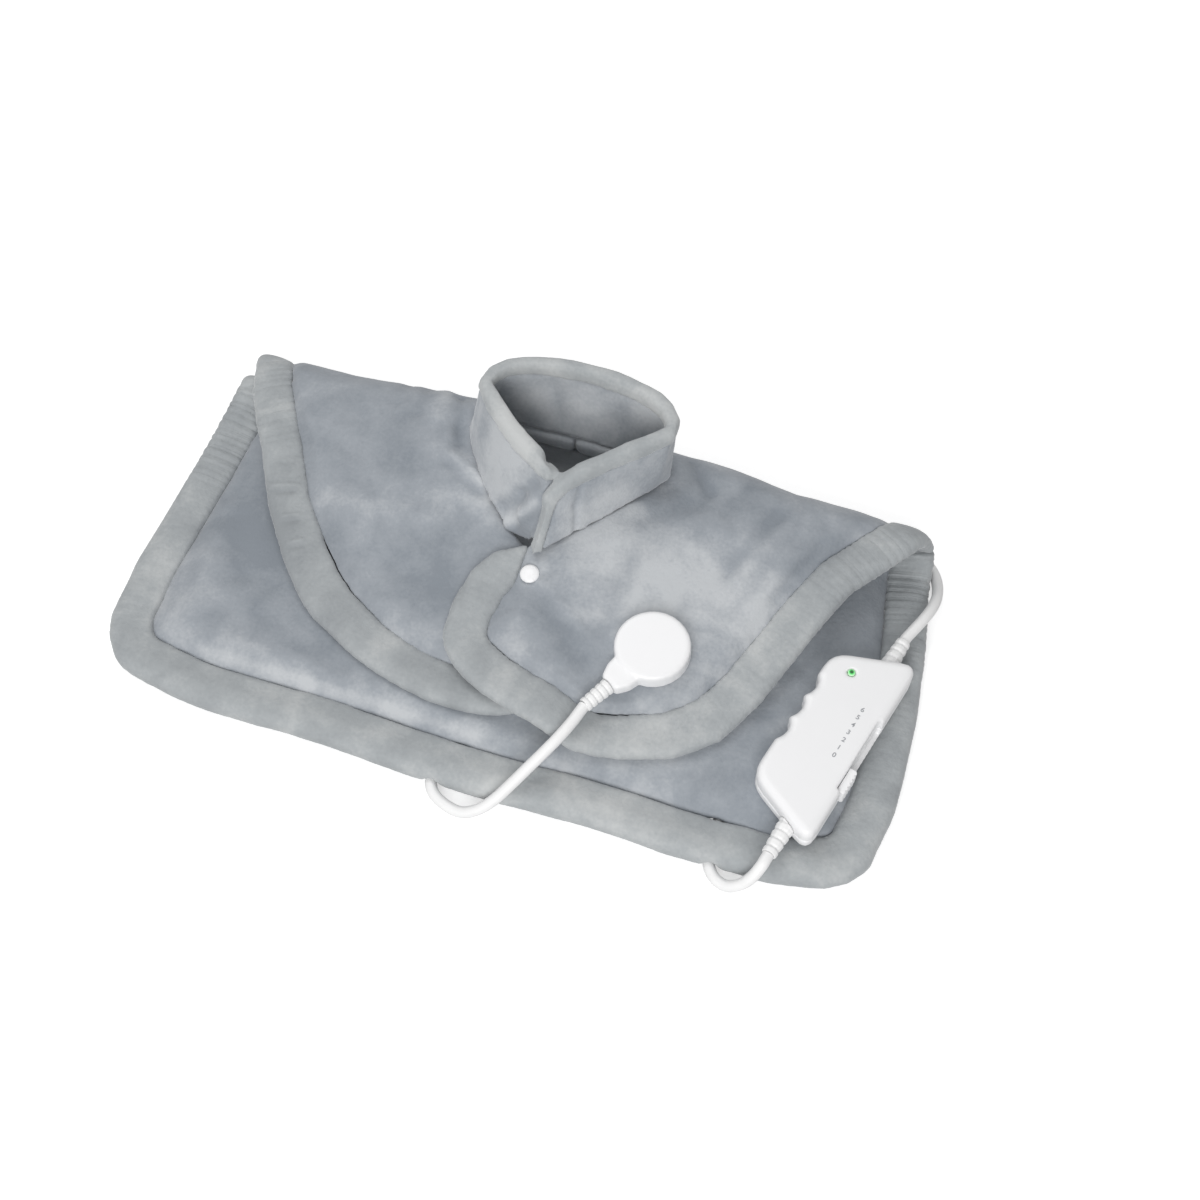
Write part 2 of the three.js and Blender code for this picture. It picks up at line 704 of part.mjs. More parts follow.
// All that lies inside a depth below the outer surface of the fold, near the coil
function foldCore(depth) {
  const reach = recessRadius + moundMargin + moundFade + overrun;
  const rings = [];
  for (let step = 0; step <= 4; step++) {
    const x = coilCentre[0] + reach * (step / 2 - 1);
    const [axis, radius] = [foldAxis(x), foldRadius(x)];
    const arc = [0, 0.25, 0.5, 0.75, 1].map((share) => {
      const angle = share * Math.PI / 2;
      return [x, axis + (radius - depth) * Math.sin(angle), radius - (radius - depth) * Math.cos(angle)];
    });
    rings.push([
      [x, -halfDepth, -overrun], [x, axis, -overrun], ...arc,
      [x, arc[4][1], foldHeight], [x, -halfDepth, foldHeight],
    ]);
  }
  return loft(rings);
}

// An open-bottomed channel for the part of a cord that lies under the pad
function channel(path) {
  const half = cordDiameter / 2 + grooveClearance;
  const places = path.getSpacedPoints(Math.ceil(path.getLength() / cordStep));
  const front = places.findIndex((place) => place.y < -halfDepth - cordDiameter);
  const hidden = places.slice(0, front + 1);
  return loft(hidden.map((place, index) => {
    const along = hidden[Math.min(index + 1, front)].clone().sub(hidden[Math.max(index - 1, 0)]);
    const side = new THREE.Vector2(along.y, -along.x).setLength(half);
    const corners = [[-1, -overrun], [1, -overrun], [1, place.z + half], [-1, place.z + half]];
    return corners.map(([way, height]) => {
      return [place.x + way * side.x, place.y + way * side.y, height];
    });
  }));
}

// Handset frame: its outline lies round its own centre, with +Y along it and its bottom at zero.
const turn = THREE.MathUtils.degToRad(handsetTurn);
const handsetFloor = padThickness + gap;
const onPad = (geometry) => geometry.clone().rotateZ(turn).translate(...handsetPlace, handsetFloor);

function handsetPoint(x, y, z) {
  const place = new THREE.Vector2(x, y).rotateAround(new THREE.Vector2(), turn);
  return [handsetPlace[0] + place.x, handsetPlace[1] + place.y, handsetFloor + z];
}

const bootHeight = handsetParting;
const bootTip = (end, beyond) => handsetPoint(bootAxis, end * (bootRoot + bootLength + beyond), bootHeight);
const coilCordEnd = cordDiameter + gap;
const leadIn = route([
  bootTip(-1, gap), bootTip(-1, gap + cordDiameter / 2), ...leadInLoop, ...leadInRoute,
  below(coilStart, 2 * coilCordEnd), below(coilStart, coilCordEnd),
]);

// Back panel: cover with its wadding, lining and edge tape
const backMarks = stations([...backSideSteps, ...backFrontSteps, ...backSideSteps.toReversed()]);
const backHem = hem(backHemShares, 1, false);
const backEdge = panelEdge(backHem, backMarks, 1);
const backRows = backSideSteps.reduce((sum, count) => sum + count);
const backGrid = panelGrid(
  backEdge.slice(0, backRows + 1),
  backEdge.slice(backRows, backEdge.length - backRows),
  backEdge.slice(-backRows - 1).toReversed(),
);
const backAway = awayFrom(backHem.seam);
const liningDepth = coverThickness + wireGap;
const coverSlab = layer(
  backGrid, backAway, backPoint,
  { depth: 0, sink: 0 }, { depth: coverThickness, sink: 0 },
);
const liningSlab = layer(
  backGrid, backAway, backPoint,
  { depth: liningDepth, sink: 0 }, { depth: padThickness, sink: -seamSink },
);
const backTape = tape(backHem, backMarks, (x, s, down) => {
  return backPoint(x, s, down <= tapeSectionShares[1][1] ? 0 : down * backTapeThickness);
});

const recessSpan = 2 * recessRadius / Math.cos(Math.PI / moundSides);
const recess = post(...coilCentre, -overrun, recessHeight, recessSpan, moundSides);
const leadInChannel = channel(route(leadIn.points.map((point) => point.toArray()).toReversed()));

// The thermal cut-out lies between the cover and the lining.
const wireLevel = coverThickness + wireGap / 2;
function cutoutBlock(grow) {
  const half = cutoutSize.map((size) => size / 2 + grow);
  const middle = [...cutoutPlace, wireLevel];
  return box(middle.map((value, k) => value - half[k]), middle.map((value, k) => value + half[k]));
}

// Neck opening and collar loops, as curves round an angle that starts at the front and runs to the right
function loopPoint(loop, angle) {
  const [side, ahead] = [Math.sin(angle), Math.cos(angle)];
  const power = 2 / (ahead > 0 ? loop.frontPower : loop.rearPower);
  const depth = ahead > 0 ? loop.frontDepth : loop.rearDepth;
  const across = Math.sign(side) * Math.abs(side) ** power;
  const along = Math.sign(ahead) * Math.abs(ahead) ** power;
  return new THREE.Vector2(loop.centre[0] + loop.halfWidth * across, loop.centre[1] - depth * along);
}

const neckLoop = {
  centre: neckCentre, halfWidth: neckHalfWidth, frontDepth: neckFrontDepth, rearDepth: neckRearDepth,
  frontPower: neckFrontPower, rearPower: neckRearPower,
};
const rimLoop = {
  centre: rimCentre, halfWidth: rimHalfWidth, frontDepth: rimFrontDepth, rearDepth: rimRearDepth,
  frontPower: rimFrontPower, rearPower: rimRearPower,
};

// Front flaps
function neckCutter() {
  const inset = collarThickness / 2 + 3 * gap;
  const hole = {
    ...neckLoop, halfWidth: neckHalfWidth - inset, frontDepth: neckFrontDepth - inset,
    rearDepth: neckRearDepth - inset,
  };
  const outline = new THREE.Shape();
  const corners = 32;
  for (let i = 0; i < corners; i++) {
    const corner = loopPoint(hole, (i + 0.5) / corners * 2 * Math.PI);
    if (i === 0) outline.moveTo(corner.x, corner.y);
    else outline.lineTo(corner.x, corner.y);
  }
  const low = padThickness + overrun / 4;
  const block = new THREE.ExtrudeGeometry(outline, { depth: 2 * foldHeight, bevelEnabled: false });
  return block.translate(0, 0, low);
}

function flap(hemShares, inwardSide, sideSteps, frontSteps, top) {
  const place = (x, s, depth) => flapPoint(top, x, s, depth);
  const edges = hem(hemShares, inwardSide, true);
  const marks = stations([...sideSteps, ...frontSteps, ...tabSteps]);
  const border = panelEdge(edges, marks, inwardSide);
  const rows = sideSteps.reduce((sum, count) => sum + count);
  const tab = border.slice(-tabSteps.length - 1).toReversed();
  const side = border.slice(0, rows + 1);
  const middle = [neckCentre[0] - inwardSide * gap / 2, -gap / 2];
  const down = middleLine(middle, tab[0], side, rows - tabSteps.length);
  const lower = border.slice(rows, border.length - tabSteps.length);
  const grid = panelGrid(side, lower, [...down, ...tab.slice(1)]);
  const away = awayFrom(edges.seam);
  const lining = flapCoverThickness + wireGap;
  const tapeEnd = edges.outer.getUtoTmapping(1 - 2 * gap / edges.outer.getLength());
  return {
    edges,
    cover: layer(
      grid, away, place,
      { depth: 0, sink: flapSeamSink }, { depth: flapCoverThickness, sink: 0 },
    ),
    lining: layer(
      grid, away, place,
      { depth: lining, sink: 0 }, { depth: flapThickness, sink: -flapSeamSink },
    ),
    tape: tape(edges, marks.map((mark) => Math.min(mark, tapeEnd)), (x, s, down) => {
      return place(x, s, down * flapTapeThickness + flapSeamSink / 2);
    }),
  };
}

const leftFlap = flap(leftHemShares, 1, leftSideSteps, leftFrontSteps, leftTop);
const rightFlap = flap(rightHemShares, -1, rightSideSteps, rightFrontSteps, rightTop);
const neckHole = neckCutter();

// Snap fastener through the overlap: each piece is built round the upright line of the snap and then tilted.
const snapRise = leftTop(snapPlace[0], snapPlace[1] + gap) - leftTop(...snapPlace);
const snapSlope = Math.atan(snapRise / gap);
const snapHeight = leftTop(...snapPlace);
const atSnap = (geometry) => geometry.clone().rotateX(snapSlope).translate(...snapPlace, snapHeight);
const fromSnap = (height) => (height - leftTop(...snapPlace)) * Math.cos(snapSlope);
const snapLevel = {
  top: fromSnap(levels(rightFlap.cover, ...snapPlace)[0]),
  under: fromSnap(levels(rightFlap.lining, ...snapPlace).at(-1)),
  tape: fromSnap(levels(leftFlap.tape, ...snapPlace)[0]),
  tapeUnder: fromSnap(levels(leftFlap.tape, ...snapPlace).at(-1)),
};
const [capRadius, postRadius] = [snapCapDiameter / 2, snapPostDiameter / 2];
const [ringRadius, holeRadius] = [snapRingDiameter / 2, snapHoleDiameter / 2];
const studRadius = snapStudDiameter / 2;
const capFoot = snapLevel.top - gap;
const socketTop = snapLevel.under + gap;
const socketFoot = socketTop - snapSocketThickness;
const studFoot = snapLevel.tape - gap;
const backTop = snapLevel.tapeUnder + gap;
const capEnd = socketTop - snapSocketThickness / 3;
const studTop = socketTop - 2 * snapSocketThickness / 3;
const studEnd = backTop - snapFlangeThickness;

function snapRing(low, high) {
  return revolve([
    [holeRadius, low], [ringRadius, low], [ringRadius, high], [holeRadius, high], [holeRadius, low],
  ], 16);
}

const snapCap = revolve([
  [0, capEnd], [postRadius, capEnd], [postRadius, capFoot],
  [capRadius, capFoot], [capRadius, capFoot + snapFlangeThickness],
  [0.8 * capRadius, capFoot + 0.75 * snapCapHeight], [0.4 * capRadius, capFoot + snapCapHeight],
  [0, capFoot + snapCapHeight],
], 16);
const snapStud = revolve([
  [0, studEnd], [postRadius, studEnd], [postRadius, studFoot], [ringRadius, studFoot],
  [ringRadius, studFoot + snapFlangeThickness], [studRadius, studFoot + snapFlangeThickness],
  [studRadius, studTop], [0, studTop],
], 16);

const snapClearance = (low, high, radius) => atSnap(post(0, 0, low, high, 2 * (radius + gap), 16));
const snapPassage = snapClearance(studEnd - overrun, capFoot + overrun, postRadius);
const capSeat = snapClearance(capFoot - gap, capFoot + overrun, capRadius);
const socketSeat = snapClearance(socketFoot - overrun, socketTop + gap, ringRadius);
const studSeat = snapClearance(studFoot - gap, socketFoot, ringRadius);
const backSeat = snapClearance(studEnd - overrun, backTop + gap, ringRadius);

// Plug: built round its own centre with its neck along +X, then turned, tilted and set on the right flap
const plugTurn = THREE.MathUtils.degToRad(plugHeading);
const plugFloor = rightTop(...plugPlace) + 2 * gap;
const onFlap = (geometry) => {
  return geometry.clone().rotateZ(plugTurn).rotateX(tilt).translate(...plugPlace, plugFloor);
};
const plugAxisHeight = gap + plugNeckThickness / 2;

function plugPoint(along, height) {
  const place = new THREE.Vector3(along, 0, height).applyAxisAngle(new THREE.Vector3(0, 0, 1), plugTurn);
  place.applyAxisAngle(new THREE.Vector3(1, 0, 0), tilt);
  return [plugPlace[0] + place.x, plugPlace[1] + place.y, plugFloor + place.z];
}

const plugBootTip = (beyond) => plugPoint(plugNeckLength + plugBootLength + beyond, plugAxisHeight);
const leadOut = route([
  below(coilEnd, coilCordEnd), below(coilEnd, 2 * coilCordEnd), ...leadOutRoute,
  plugBootTip(2 * gap + cordDiameter / 2), plugBootTip(2 * gap),
]);
const leadOutChannel = channel(leadOut);

function plugDisc(grow) {
  const radius = plugDiameter / 2 + grow;
  const edge = plugEdgeRadius;
  return revolve([
    [0, -grow], [radius - edge / 2, -grow], [radius, edge / 2 - grow], [radius, plugThickness - edge],
    [radius - 0.3 * edge, plugThickness - 0.3 * edge], [radius - edge, plugThickness], [0, plugThickness],
  ], 28);
}

const neckOutline = roundedShape([
  [plugDiameter / 4, -plugNeckRootWidth / 2, 0], [plugNeckShoulder, -plugNeckWidth / 2, plugShoulderRadius],
  [plugNeckLength, -plugNeckTipWidth / 2, plugTipRadius],
  [plugNeckLength, plugNeckTipWidth / 2, plugTipRadius],
  [plugNeckShoulder, plugNeckWidth / 2, plugShoulderRadius], [plugDiameter / 4, plugNeckRootWidth / 2, 0],
]);
const plugNeck = new THREE.ExtrudeGeometry(neckOutline, {
  depth: plugNeckThickness - 2 * plugEdgeRadius, curveSegments: 3, bevelSegments: 2,
  bevelThickness: plugEdgeRadius, bevelSize: plugEdgeRadius, bevelOffset: -plugEdgeRadius,
}).translate(0, 0, gap + plugEdgeRadius);
const pinSides = [-pinSpacing / 2, pinSpacing / 2];
const pinHoles = pinSides.map((y) => post(0, y, -overrun, pinRoot + gap, pinDiameter + 2 * gap, 12));
const pinPockets = pinSides.map((y) => {
  return onFlap(post(0, y, -pinLength - overrun, overrun / 2, pinDiameter + 4 * gap, 12));
});
const plugSeat = onFlap(plugDisc(gap));

// A moulded boot with ribs, built along +Z from its root
function boot(length, rootDiameter, tipDiameter, ribs = bootRibs) {
  const profile = [[0, 0], [rootDiameter / 2, 0]];
  const ribLength = length / (2 * ribs + 1);
  for (let rib = 0; rib < ribs; rib++) {
    const start = (2 * rib + 1) * ribLength;
    const radius = THREE.MathUtils.lerp(rootDiameter, tipDiameter, start / length) / 2;
    profile.push([radius, start], [radius - bootRibDepth, start + ribLength / 2]);
    profile.push([radius, start + ribLength]);
  }
  profile.push([tipDiameter / 2, length], [0, length]);
  return revolve(profile, bootSides);
}

// Handset shells
const halfWidth = handsetWidth / 2;
const endSlope = (longSideCorner - shortSideCorner) / handsetWidth;
const endAngle = Math.atan(endSlope);
const endLine = (x, inset) => longSideCorner - endSlope * (halfWidth - x) - inset / Math.cos(endAngle);

function handsetOutline() {
  const grip = [[-halfWidth, gripStart, 0]];
  const shape = roundedShape([
    [halfWidth, -longSideCorner, longCornerRadius], [halfWidth, longSideCorner, longCornerRadius],
    [-halfWidth, shortSideCorner, gripCornerRadius], ...grip,
    [-halfWidth, gripStart - gripCount * gripPitch, 0], [-halfWidth, -shortSideCorner, gripCornerRadius],
  ]);
  const before = shape.curves.findIndex((curve) => {
    return curve.isLineCurve && curve.v1.y === gripStart;
  });
  const scallops = [];
  for (let n = 0; n < gripCount; n++) {
    const [from, to] = [n, n + 1].map((count) => gripStart - count * gripPitch);
    scallops.push(new THREE.QuadraticBezierCurve(
      new THREE.Vector2(-halfWidth, from),
      new THREE.Vector2(-halfWidth + 2 * gripDepth, (from + to) / 2),
      new THREE.Vector2(-halfWidth, to),
    ));
  }
  shape.curves.splice(before, 1, ...scallops);
  return shape;
}

const handsetBody = new THREE.ExtrudeGeometry(handsetOutline(), {
  depth: handsetThickness - 2 * handsetEdgeRadius, curveSegments: handsetCurveSteps, bevelSegments: 2,
  bevelThickness: handsetEdgeRadius, bevelSize: handsetEdgeRadius, bevelOffset: -handsetEdgeRadius,
}).translate(0, 0, handsetEdgeRadius);
const innerSide = halfWidth - trackDepth - handsetWall - 2 * gap;
const innerGripSide = halfWidth - gripDepth - handsetWall;
const cavityOutline = roundedShape([
  [innerSide, -endLine(innerSide, handsetWall), longCornerRadius - handsetWall / 2],
  [innerSide, endLine(innerSide, handsetWall), longCornerRadius - handsetWall / 2],
  [-innerGripSide, endLine(-innerGripSide, handsetWall), gripCornerRadius - 2 * handsetWall],
  [-innerGripSide, -endLine(-innerGripSide, handsetWall), gripCornerRadius - 2 * handsetWall],
]);
const cavityHeight = handsetThickness - 2 * handsetWall;
const handsetCavity = new THREE.ExtrudeGeometry(cavityOutline, {
  depth: cavityHeight, curveSegments: 2, bevelEnabled: false,
}).translate(0, 0, handsetWall);
const ceiling = handsetThickness - handsetWall;
const wide = 2 * longSideCorner;
const lowerHalf = box([-wide, -wide, -overrun], [wide, wide, handsetParting - gap / 2]);
const upperHalf = box([-wide, -wide, handsetParting + gap / 2], [wide, wide, handsetThickness + overrun]);

const trackLength = slideTravel + knobLength + 2 * gap;
const trackSide = halfWidth - trackDepth;
const track = box(
  [trackSide, trackMiddle - trackLength / 2, trackFloor],
  [halfWidth + overrun, trackMiddle + trackLength / 2, handsetThickness + overrun],
);
const knobRest = trackMiddle - slideTravel / 2;
const stemFloor = handsetParting + 1.5 * gap;
const slotLength = slideTravel + stemWidth + 2 * gap;
const stemSlot = box(
  [innerSide - overrun, trackMiddle - slotLength / 2, handsetParting - gap],
  [trackSide + overrun / 2, trackMiddle + slotLength / 2, stemFloor + stemThickness + gap],
);

const shank = (place, low, high, diameter) => post(...place, low, high, diameter, 10);
const headTop = screwSink + screwHeadThickness;
const screwTop = headTop + screwLength;
const lowerBosses = screwPlaces.map((place) => {
  return shank(place, handsetWall / 2, handsetParting - gap / 2, bossDiameter);
});
const upperBosses = screwPlaces.map((place) => {
  return shank(place, handsetParting + gap / 2, ceiling + handsetWall / 2, bossDiameter);
});
const headHoles = screwPlaces.map((place) => {
  return shank(place, -overrun, headTop + gap, screwHeadDiameter + 2 * gap);
});
const shankHoles = screwPlaces.map((place) => {
  return shank(place, -overrun, screwTop + gap, screwDiameter + 2 * gap);
});
const boardRests = [-1, 1].map((end) => box(
  [boardMiddle - boardWidth / 4, end * boardLength / 3 - boardRest / 2, handsetWall / 2],
  [boardMiddle + boardWidth / 4, end * boardLength / 3 + boardRest / 2, boardHeight - gap],
));
const lampHoleTop = handsetThickness + overrun;
const lampHole = post(...lampPlace, ceiling - overrun, lampHoleTop, lampDiameter + 2 * gap, 14);

const trimmed = (parts) => parts.map((part) => keepInside(part, handsetBody));
const lowerShell = cut(
  join(cut(handsetBody, handsetCavity, upperHalf, box(
    [-wide, -wide, handsetParting - gap / 2], [wide, wide, handsetThickness + overrun],
  )), ...trimmed(lowerBosses), ...boardRests),
  track, ...headHoles, ...shankHoles,
);
const upperShell = cut(
  join(cut(handsetBody, handsetCavity, lowerHalf, box(
    [-wide, -wide, -overrun], [wide, wide, handsetParting + gap / 2],
  )), ...trimmed(upperBosses)),
  track, stemSlot, lampHole, ...shankHoles,
);

// Slide knob with its grip ribs and the stem that works the switch
const knobLow = trackFloor + gap;
const knobTop = knobLow + knobHeight;
const knobFace = halfWidth + knobProud;
const knobGrooves = [];
for (let n = 0; n < knobRibs; n++) {
  const y = knobRest + (n - (knobRibs - 1) / 2) * knobLength / (knobRibs + 1);
  const half = knobLength / (knobRibs + 1) / 4;
  const foot = [knobFace - knobRibDepth, y - half, knobLow - overrun];
  knobGrooves.push(box(foot, [wide, y + half, knobTop + overrun]));
}
const knobOutline = roundedShape([
  [trackSide + gap, knobRest - knobLength / 2, 0], [knobFace, knobRest - knobLength / 2, knobProud],
  [knobFace, knobRest + knobLength / 2, knobProud], [trackSide + gap, knobRest + knobLength / 2, 0],
]);
const knobBlock = new THREE.ExtrudeGeometry(knobOutline, {
  depth: knobHeight, curveSegments: 3, bevelEnabled: false,
}).translate(0, 0, knobLow);
const stem = box(
  [trackSide + gap - stemReach, knobRest - stemWidth / 2, stemFloor],
  [trackSide + 2 * gap, knobRest + stemWidth / 2, stemFloor + stemThickness],
);
const slideKnob = cut(join(knobBlock, stem), ...knobGrooves);

// Circuit board with its slide switch
const boardTop = boardHeight + boardThickness;
const board = box(
  [boardMiddle - boardWidth / 2, -boardLength / 2, boardHeight],
  [boardMiddle + boardWidth / 2, boardLength / 2, boardTop],
);
const switchFace = boardMiddle + boardWidth / 2;
const switchLow = boardTop + gap;
const slideSwitch = cut(
  box(
    [switchFace - switchWidth, trackMiddle - slotLength / 2 - switchEndWall, switchLow],
    [switchFace, trackMiddle + slotLength / 2 + switchEndWall, switchLow + switchHeight],
  ),
  box(
    [switchFace - switchSlotDepth, trackMiddle - slotLength / 2, stemFloor - gap],
    [switchFace + overrun, trackMiddle + slotLength / 2, stemFloor + stemThickness + gap],
  ),
);

const lens = revolve([
  [0, ceiling - gap - lampFlange], [lampDiameter / 2 + lampFlange, ceiling - gap - lampFlange],
  [lampDiameter / 2 + lampFlange, ceiling - gap], [lampDiameter / 2, ceiling - gap],
  [lampDiameter / 2, handsetThickness], [lampDiameter / 4, handsetThickness + lampProud],
  [0, handsetThickness + lampProud],
], 14).translate(...lampPlace, 0);

const screw = cut(
  revolve([
    [0, screwSink], [screwHeadDiameter / 2, screwSink], [screwHeadDiameter / 2, headTop],
    [screwDiameter / 2, headTop], [screwDiameter / 2, screwTop - screwDiameter / 2], [0, screwTop],
  ], 10),
  box(
    [-screwHeadDiameter / 3, -screwDiameter / 8, screwSink - gap],
    [screwHeadDiameter / 3, screwDiameter / 8, screwSink + screwHeadThickness / 2],
  ),
);

// The handset's boots are trimmed to its slanted ends.
function handsetBoot(end) {
  const shape = boot(bootLength, bootRootDiameter, bootTipDiameter);
  const block = box(
    [-wide, end > 0 ? -wide : -gap, -overrun],
    [wide, end > 0 ? gap : wide, handsetThickness + overrun],
  ).rotateZ(end * endAngle).translate(halfWidth, end * longSideCorner, 0);
  return cut(lay(shape, [bootAxis, end * bootRoot, bootHeight], [0, end, 0]), block);
}

// Lead to the heating wires, from a gland that nests against the rear of the fold
const foldHug = new THREE.CylinderGeometry(
  foldRadius(glandPlace[0]) + gap, foldRadius(glandPlace[0]) + gap, 3 * glandLength, 48,
).rotateZ(Math.PI / 2).translate(glandPlace[0], foldAxis(glandPlace[0]), foldRadius(glandPlace[0]));
const plainBoot = boot(glandLength, bootRootDiameter, bootTipDiameter, 0);
const gland = cut(lay(plainBoot, glandPlace, [1, 0, 0]), foldHug);
const glandTip = (beyond) => [glandPlace[0] + glandLength + beyond, glandPlace[1], glandPlace[2]];
const padLead = route([
  glandTip(gap), glandTip(gap + cordDiameter / 2), ...padLeadRoute,
  bootTip(1, gap + cordDiameter / 2), bootTip(1, gap),
]);

// A strap round the coil's windings, at the front of the coil
function coilTie() {
  const reach = coilOuterRadius - coilInnerRadius;
  const rise = coilTop - coilFloorGap;
  const strap = (grow) => roundedShape([
    [-grow, -grow, cordDiameter / 4 + grow], [reach + grow, -grow, cordDiameter / 4 + grow],
    [reach + grow, rise + grow, cordDiameter / 4 + grow], [-grow, rise + grow, cordDiameter / 4 + grow],
  ]);
  const outline = strap(gap + tieThickness);
  outline.holes.push(strap(gap));
  const settings = { depth: tieWidth, curveSegments: 2, bevelEnabled: false };
  const band = new THREE.ExtrudeGeometry(outline, settings);
  const stood = band.rotateX(Math.PI / 2).rotateZ(-Math.PI / 2);
  return stood.translate(coilCentre[0] + tieWidth / 2, coilCentre[1] - coilInnerRadius, coilFloorGap);
}

// Collar: a band that stands on the flaps round the neck and laps over itself at the front
function loopCurve(loop) {
  const places = [];
  const steps = 120;
  for (let step = 0; step <= steps; step++) {
    places.push(loopPoint(loop, THREE.MathUtils.lerp(...collarAngles, step / steps)));
  }
  return new THREE.SplineCurve(places);
}

const [collarBase, collarRim] = [loopCurve(neckLoop), loopCurve(rimLoop)];
const collarLength = collarBase.getLength();
const seatPieces = [leftFlap, rightFlap].flatMap((side) => [side.cover, side.tape]);
const seats = new Map();

function collarPlan(share, height, depth) {
  const at = THREE.MathUtils.clamp(share, 0, 1);
  const place = collarBase.getPointAt(at).lerp(collarRim.getPointAt(at), height);
  const along = collarBase.getTangentAt(at).lerp(collarRim.getTangentAt(at), height).normalize();
  const lapped = ease(0, collarLapShare, at) - 1 + ease(1 - collarLapShare, 1, at);
  const outwards = depth - collarLap * lapped;
  return [place.x + outwards * along.y, place.y - outwards * along.x];
}

// The height at which the collar stands, clear of all that lies near this place
function seat(share) {
  if (!seats.has(share)) {
    const reach = collarTapeThickness / 2 + gap;
    const near = collarTapeWidth / collarLength;
    const nearby = [-near, -near / 2, 0, near / 2, near].flatMap((aside) => {
      return [-reach, 0, reach].map((depth) => collarPlan(share + aside, 0, depth));
    });
    const tops = nearby.map(([x, y]) => {
      const met = seatPieces.flatMap((piece) => levels(piece, x, y));
      return met.length > 0 ? Math.max(...met) : leftTop(x, Math.min(y, foldAxis(x)));
    });
    seats.set(share, Math.max(...tops) + gap);
  }
  return seats.get(share);
}

function rimLevel(share) {
  const [, y] = collarPlan(share, 1, 0);
  return rimHeight - rimFrontDip * (1 - ease(rimCentre[1] - rimFrontDepth, rimCentre[1], y));
}

function collarPoint(share, height, depth) {
  return [...collarPlan(share, height, depth), THREE.MathUtils.lerp(seat(share), rimLevel(share), height)];
}

// A place on the collar by its distance from the lapped end and its drop from the rim
function unrolled(distance, drop, depth) {
  const share = distance / collarLength;
  return collarPoint(share, 1 - drop / (rimLevel(share) - seat(share)), depth);
}

const collarInset = collarTapeWidth + gap;
const cornerSteps = 4;
const runSteps = 30;
const quarter = (step) => step / cornerSteps * Math.PI / 2;
const runDistances = [];
for (let step = 1; step <= runSteps; step++) {
  runDistances.push(THREE.MathUtils.lerp(collarEndRadius, collarLength, step / runSteps));
}

function collarBand() {
  const inner = collarEndRadius - collarInset;
  const tops = [];
  for (let step = 0; step <= cornerSteps; step++) {
    const [side, up] = [Math.cos(quarter(step)), Math.sin(quarter(step))];
    tops.push([collarEndRadius - inner * side, collarEndRadius - inner * up]);
  }
  runDistances.forEach((distance) => tops.push([distance, collarInset]));
  const level = (height) => tops.map(([distance, drop]) => [distance, drop, height]);
  const grid = [0, 1 / 3, 2 / 3, 1].map(level);
  const face = (depth) => ([distance, drop, height]) => {
    const share = distance / collarLength;
    const full = 1 - drop / (rimLevel(share) - seat(share));
    return collarPoint(share, full * height, depth);
  };
  return slab(grid, face(collarThickness / 2), face(-collarThickness / 2));
}

// The tape runs up the lapped end, round its corner and along the rim.
const collarTapeShares = [[0, 0.6], [0.35, 1], [1, 1], [1, -1], [0.35, -1], [0, -0.6]];

function collarTape() {
  const rings = [];
  const ring = (place) => rings.push(collarTapeShares.map(([across, side]) => {
    return place(across, side * collarTapeThickness / 2);
  }));
  for (const rise of [0, 0.5]) {
    ring((across, depth) => {
      const share = across * collarTapeWidth / collarLength;
      const full = 1 - collarEndRadius / (rimLevel(share) - seat(share));
      return collarPoint(share, full * rise, depth);
    });
  }
  for (let step = 0; step <= cornerSteps; step++) {
    ring((across, depth) => {
      const radius = collarEndRadius - across * collarTapeWidth;
      const [side, up] = [Math.cos(quarter(step)), Math.sin(quarter(step))];
      return unrolled(collarEndRadius - radius * side, collarEndRadius - radius * up, depth);
    });
  }
  runDistances.forEach((distance) => {
    ring((across, depth) => unrolled(distance, across * collarTapeWidth, depth));
  });
  return loft(rings);
}

// Heating wires between the layers: rows to and fro with rounded ends, at the height that the layers leave
function serpentine(rows, stepLength) {
  const places = [];
  rows.forEach(([y, from, to], index) => {
    const [start, end] = index % 2 === 0 ? [from, to] : [to, from];
    const steps = Math.ceil(Math.abs(end - start) / stepLength);
    for (let step = 0; step <= steps; step++) {
      places.push([THREE.MathUtils.lerp(start, end, step / steps), y]);
    }
    const next = rows[index + 1];
    if (!next) return;
    const bulge = Math.sign(end - start) * Math.abs(next[0] - y) / 4;
    const nextStart = index % 2 === 0 ? next[2] : next[1];
    const far = Math.abs(end + bulge) > Math.abs(nextStart + bulge) ? end : nextStart;
    places.push([far + bulge, (y + next[0]) / 2]);
  });
  return places;
}

function wire(rows, stepLength, upper, lower) {
  const places = serpentine(rows, stepLength);
  const half = wireDiameter / 2;
  return loft(places.map(([x, y], index) => {
    const z = (levels(lower, x, y)[0] + levels(upper, x, y).at(-1)) / 2;
    const [a, b] = [places[Math.max(index - 1, 0)], places[Math.min(index + 1, places.length - 1)]];
    const side = new THREE.Vector2(b[1] - a[1], a[0] - b[0]).setLength(half);
    return [[1, 0], [0, 1], [-1, 0], [0, -1]].map(([out, up]) => {
      return [x + out * side.x, y + out * side.y, z + up * half];
    });
  }));
}

// A row's shares are its place along, and its ends across. A flap's row runs from the side of the neck to
// a margin inside the seam.
const backRow = ([along, from, to]) => [along * halfDepth, from * halfPad, to * halfPad];

function flapRow(edges, [along, inner], towards) {
  const seam = edges.seam.getPoints(seamSteps).map((point) => [point.x, point.y + shoulder(point.x)]);
  const outer = seam.find((point) => point[1] < along * halfDepth)[0] - towards * wireMargin;
  const hem = inner * halfPad;
  return towards < 0 ? [along * halfDepth, outer, hem] : [along * halfDepth, hem, outer];
}

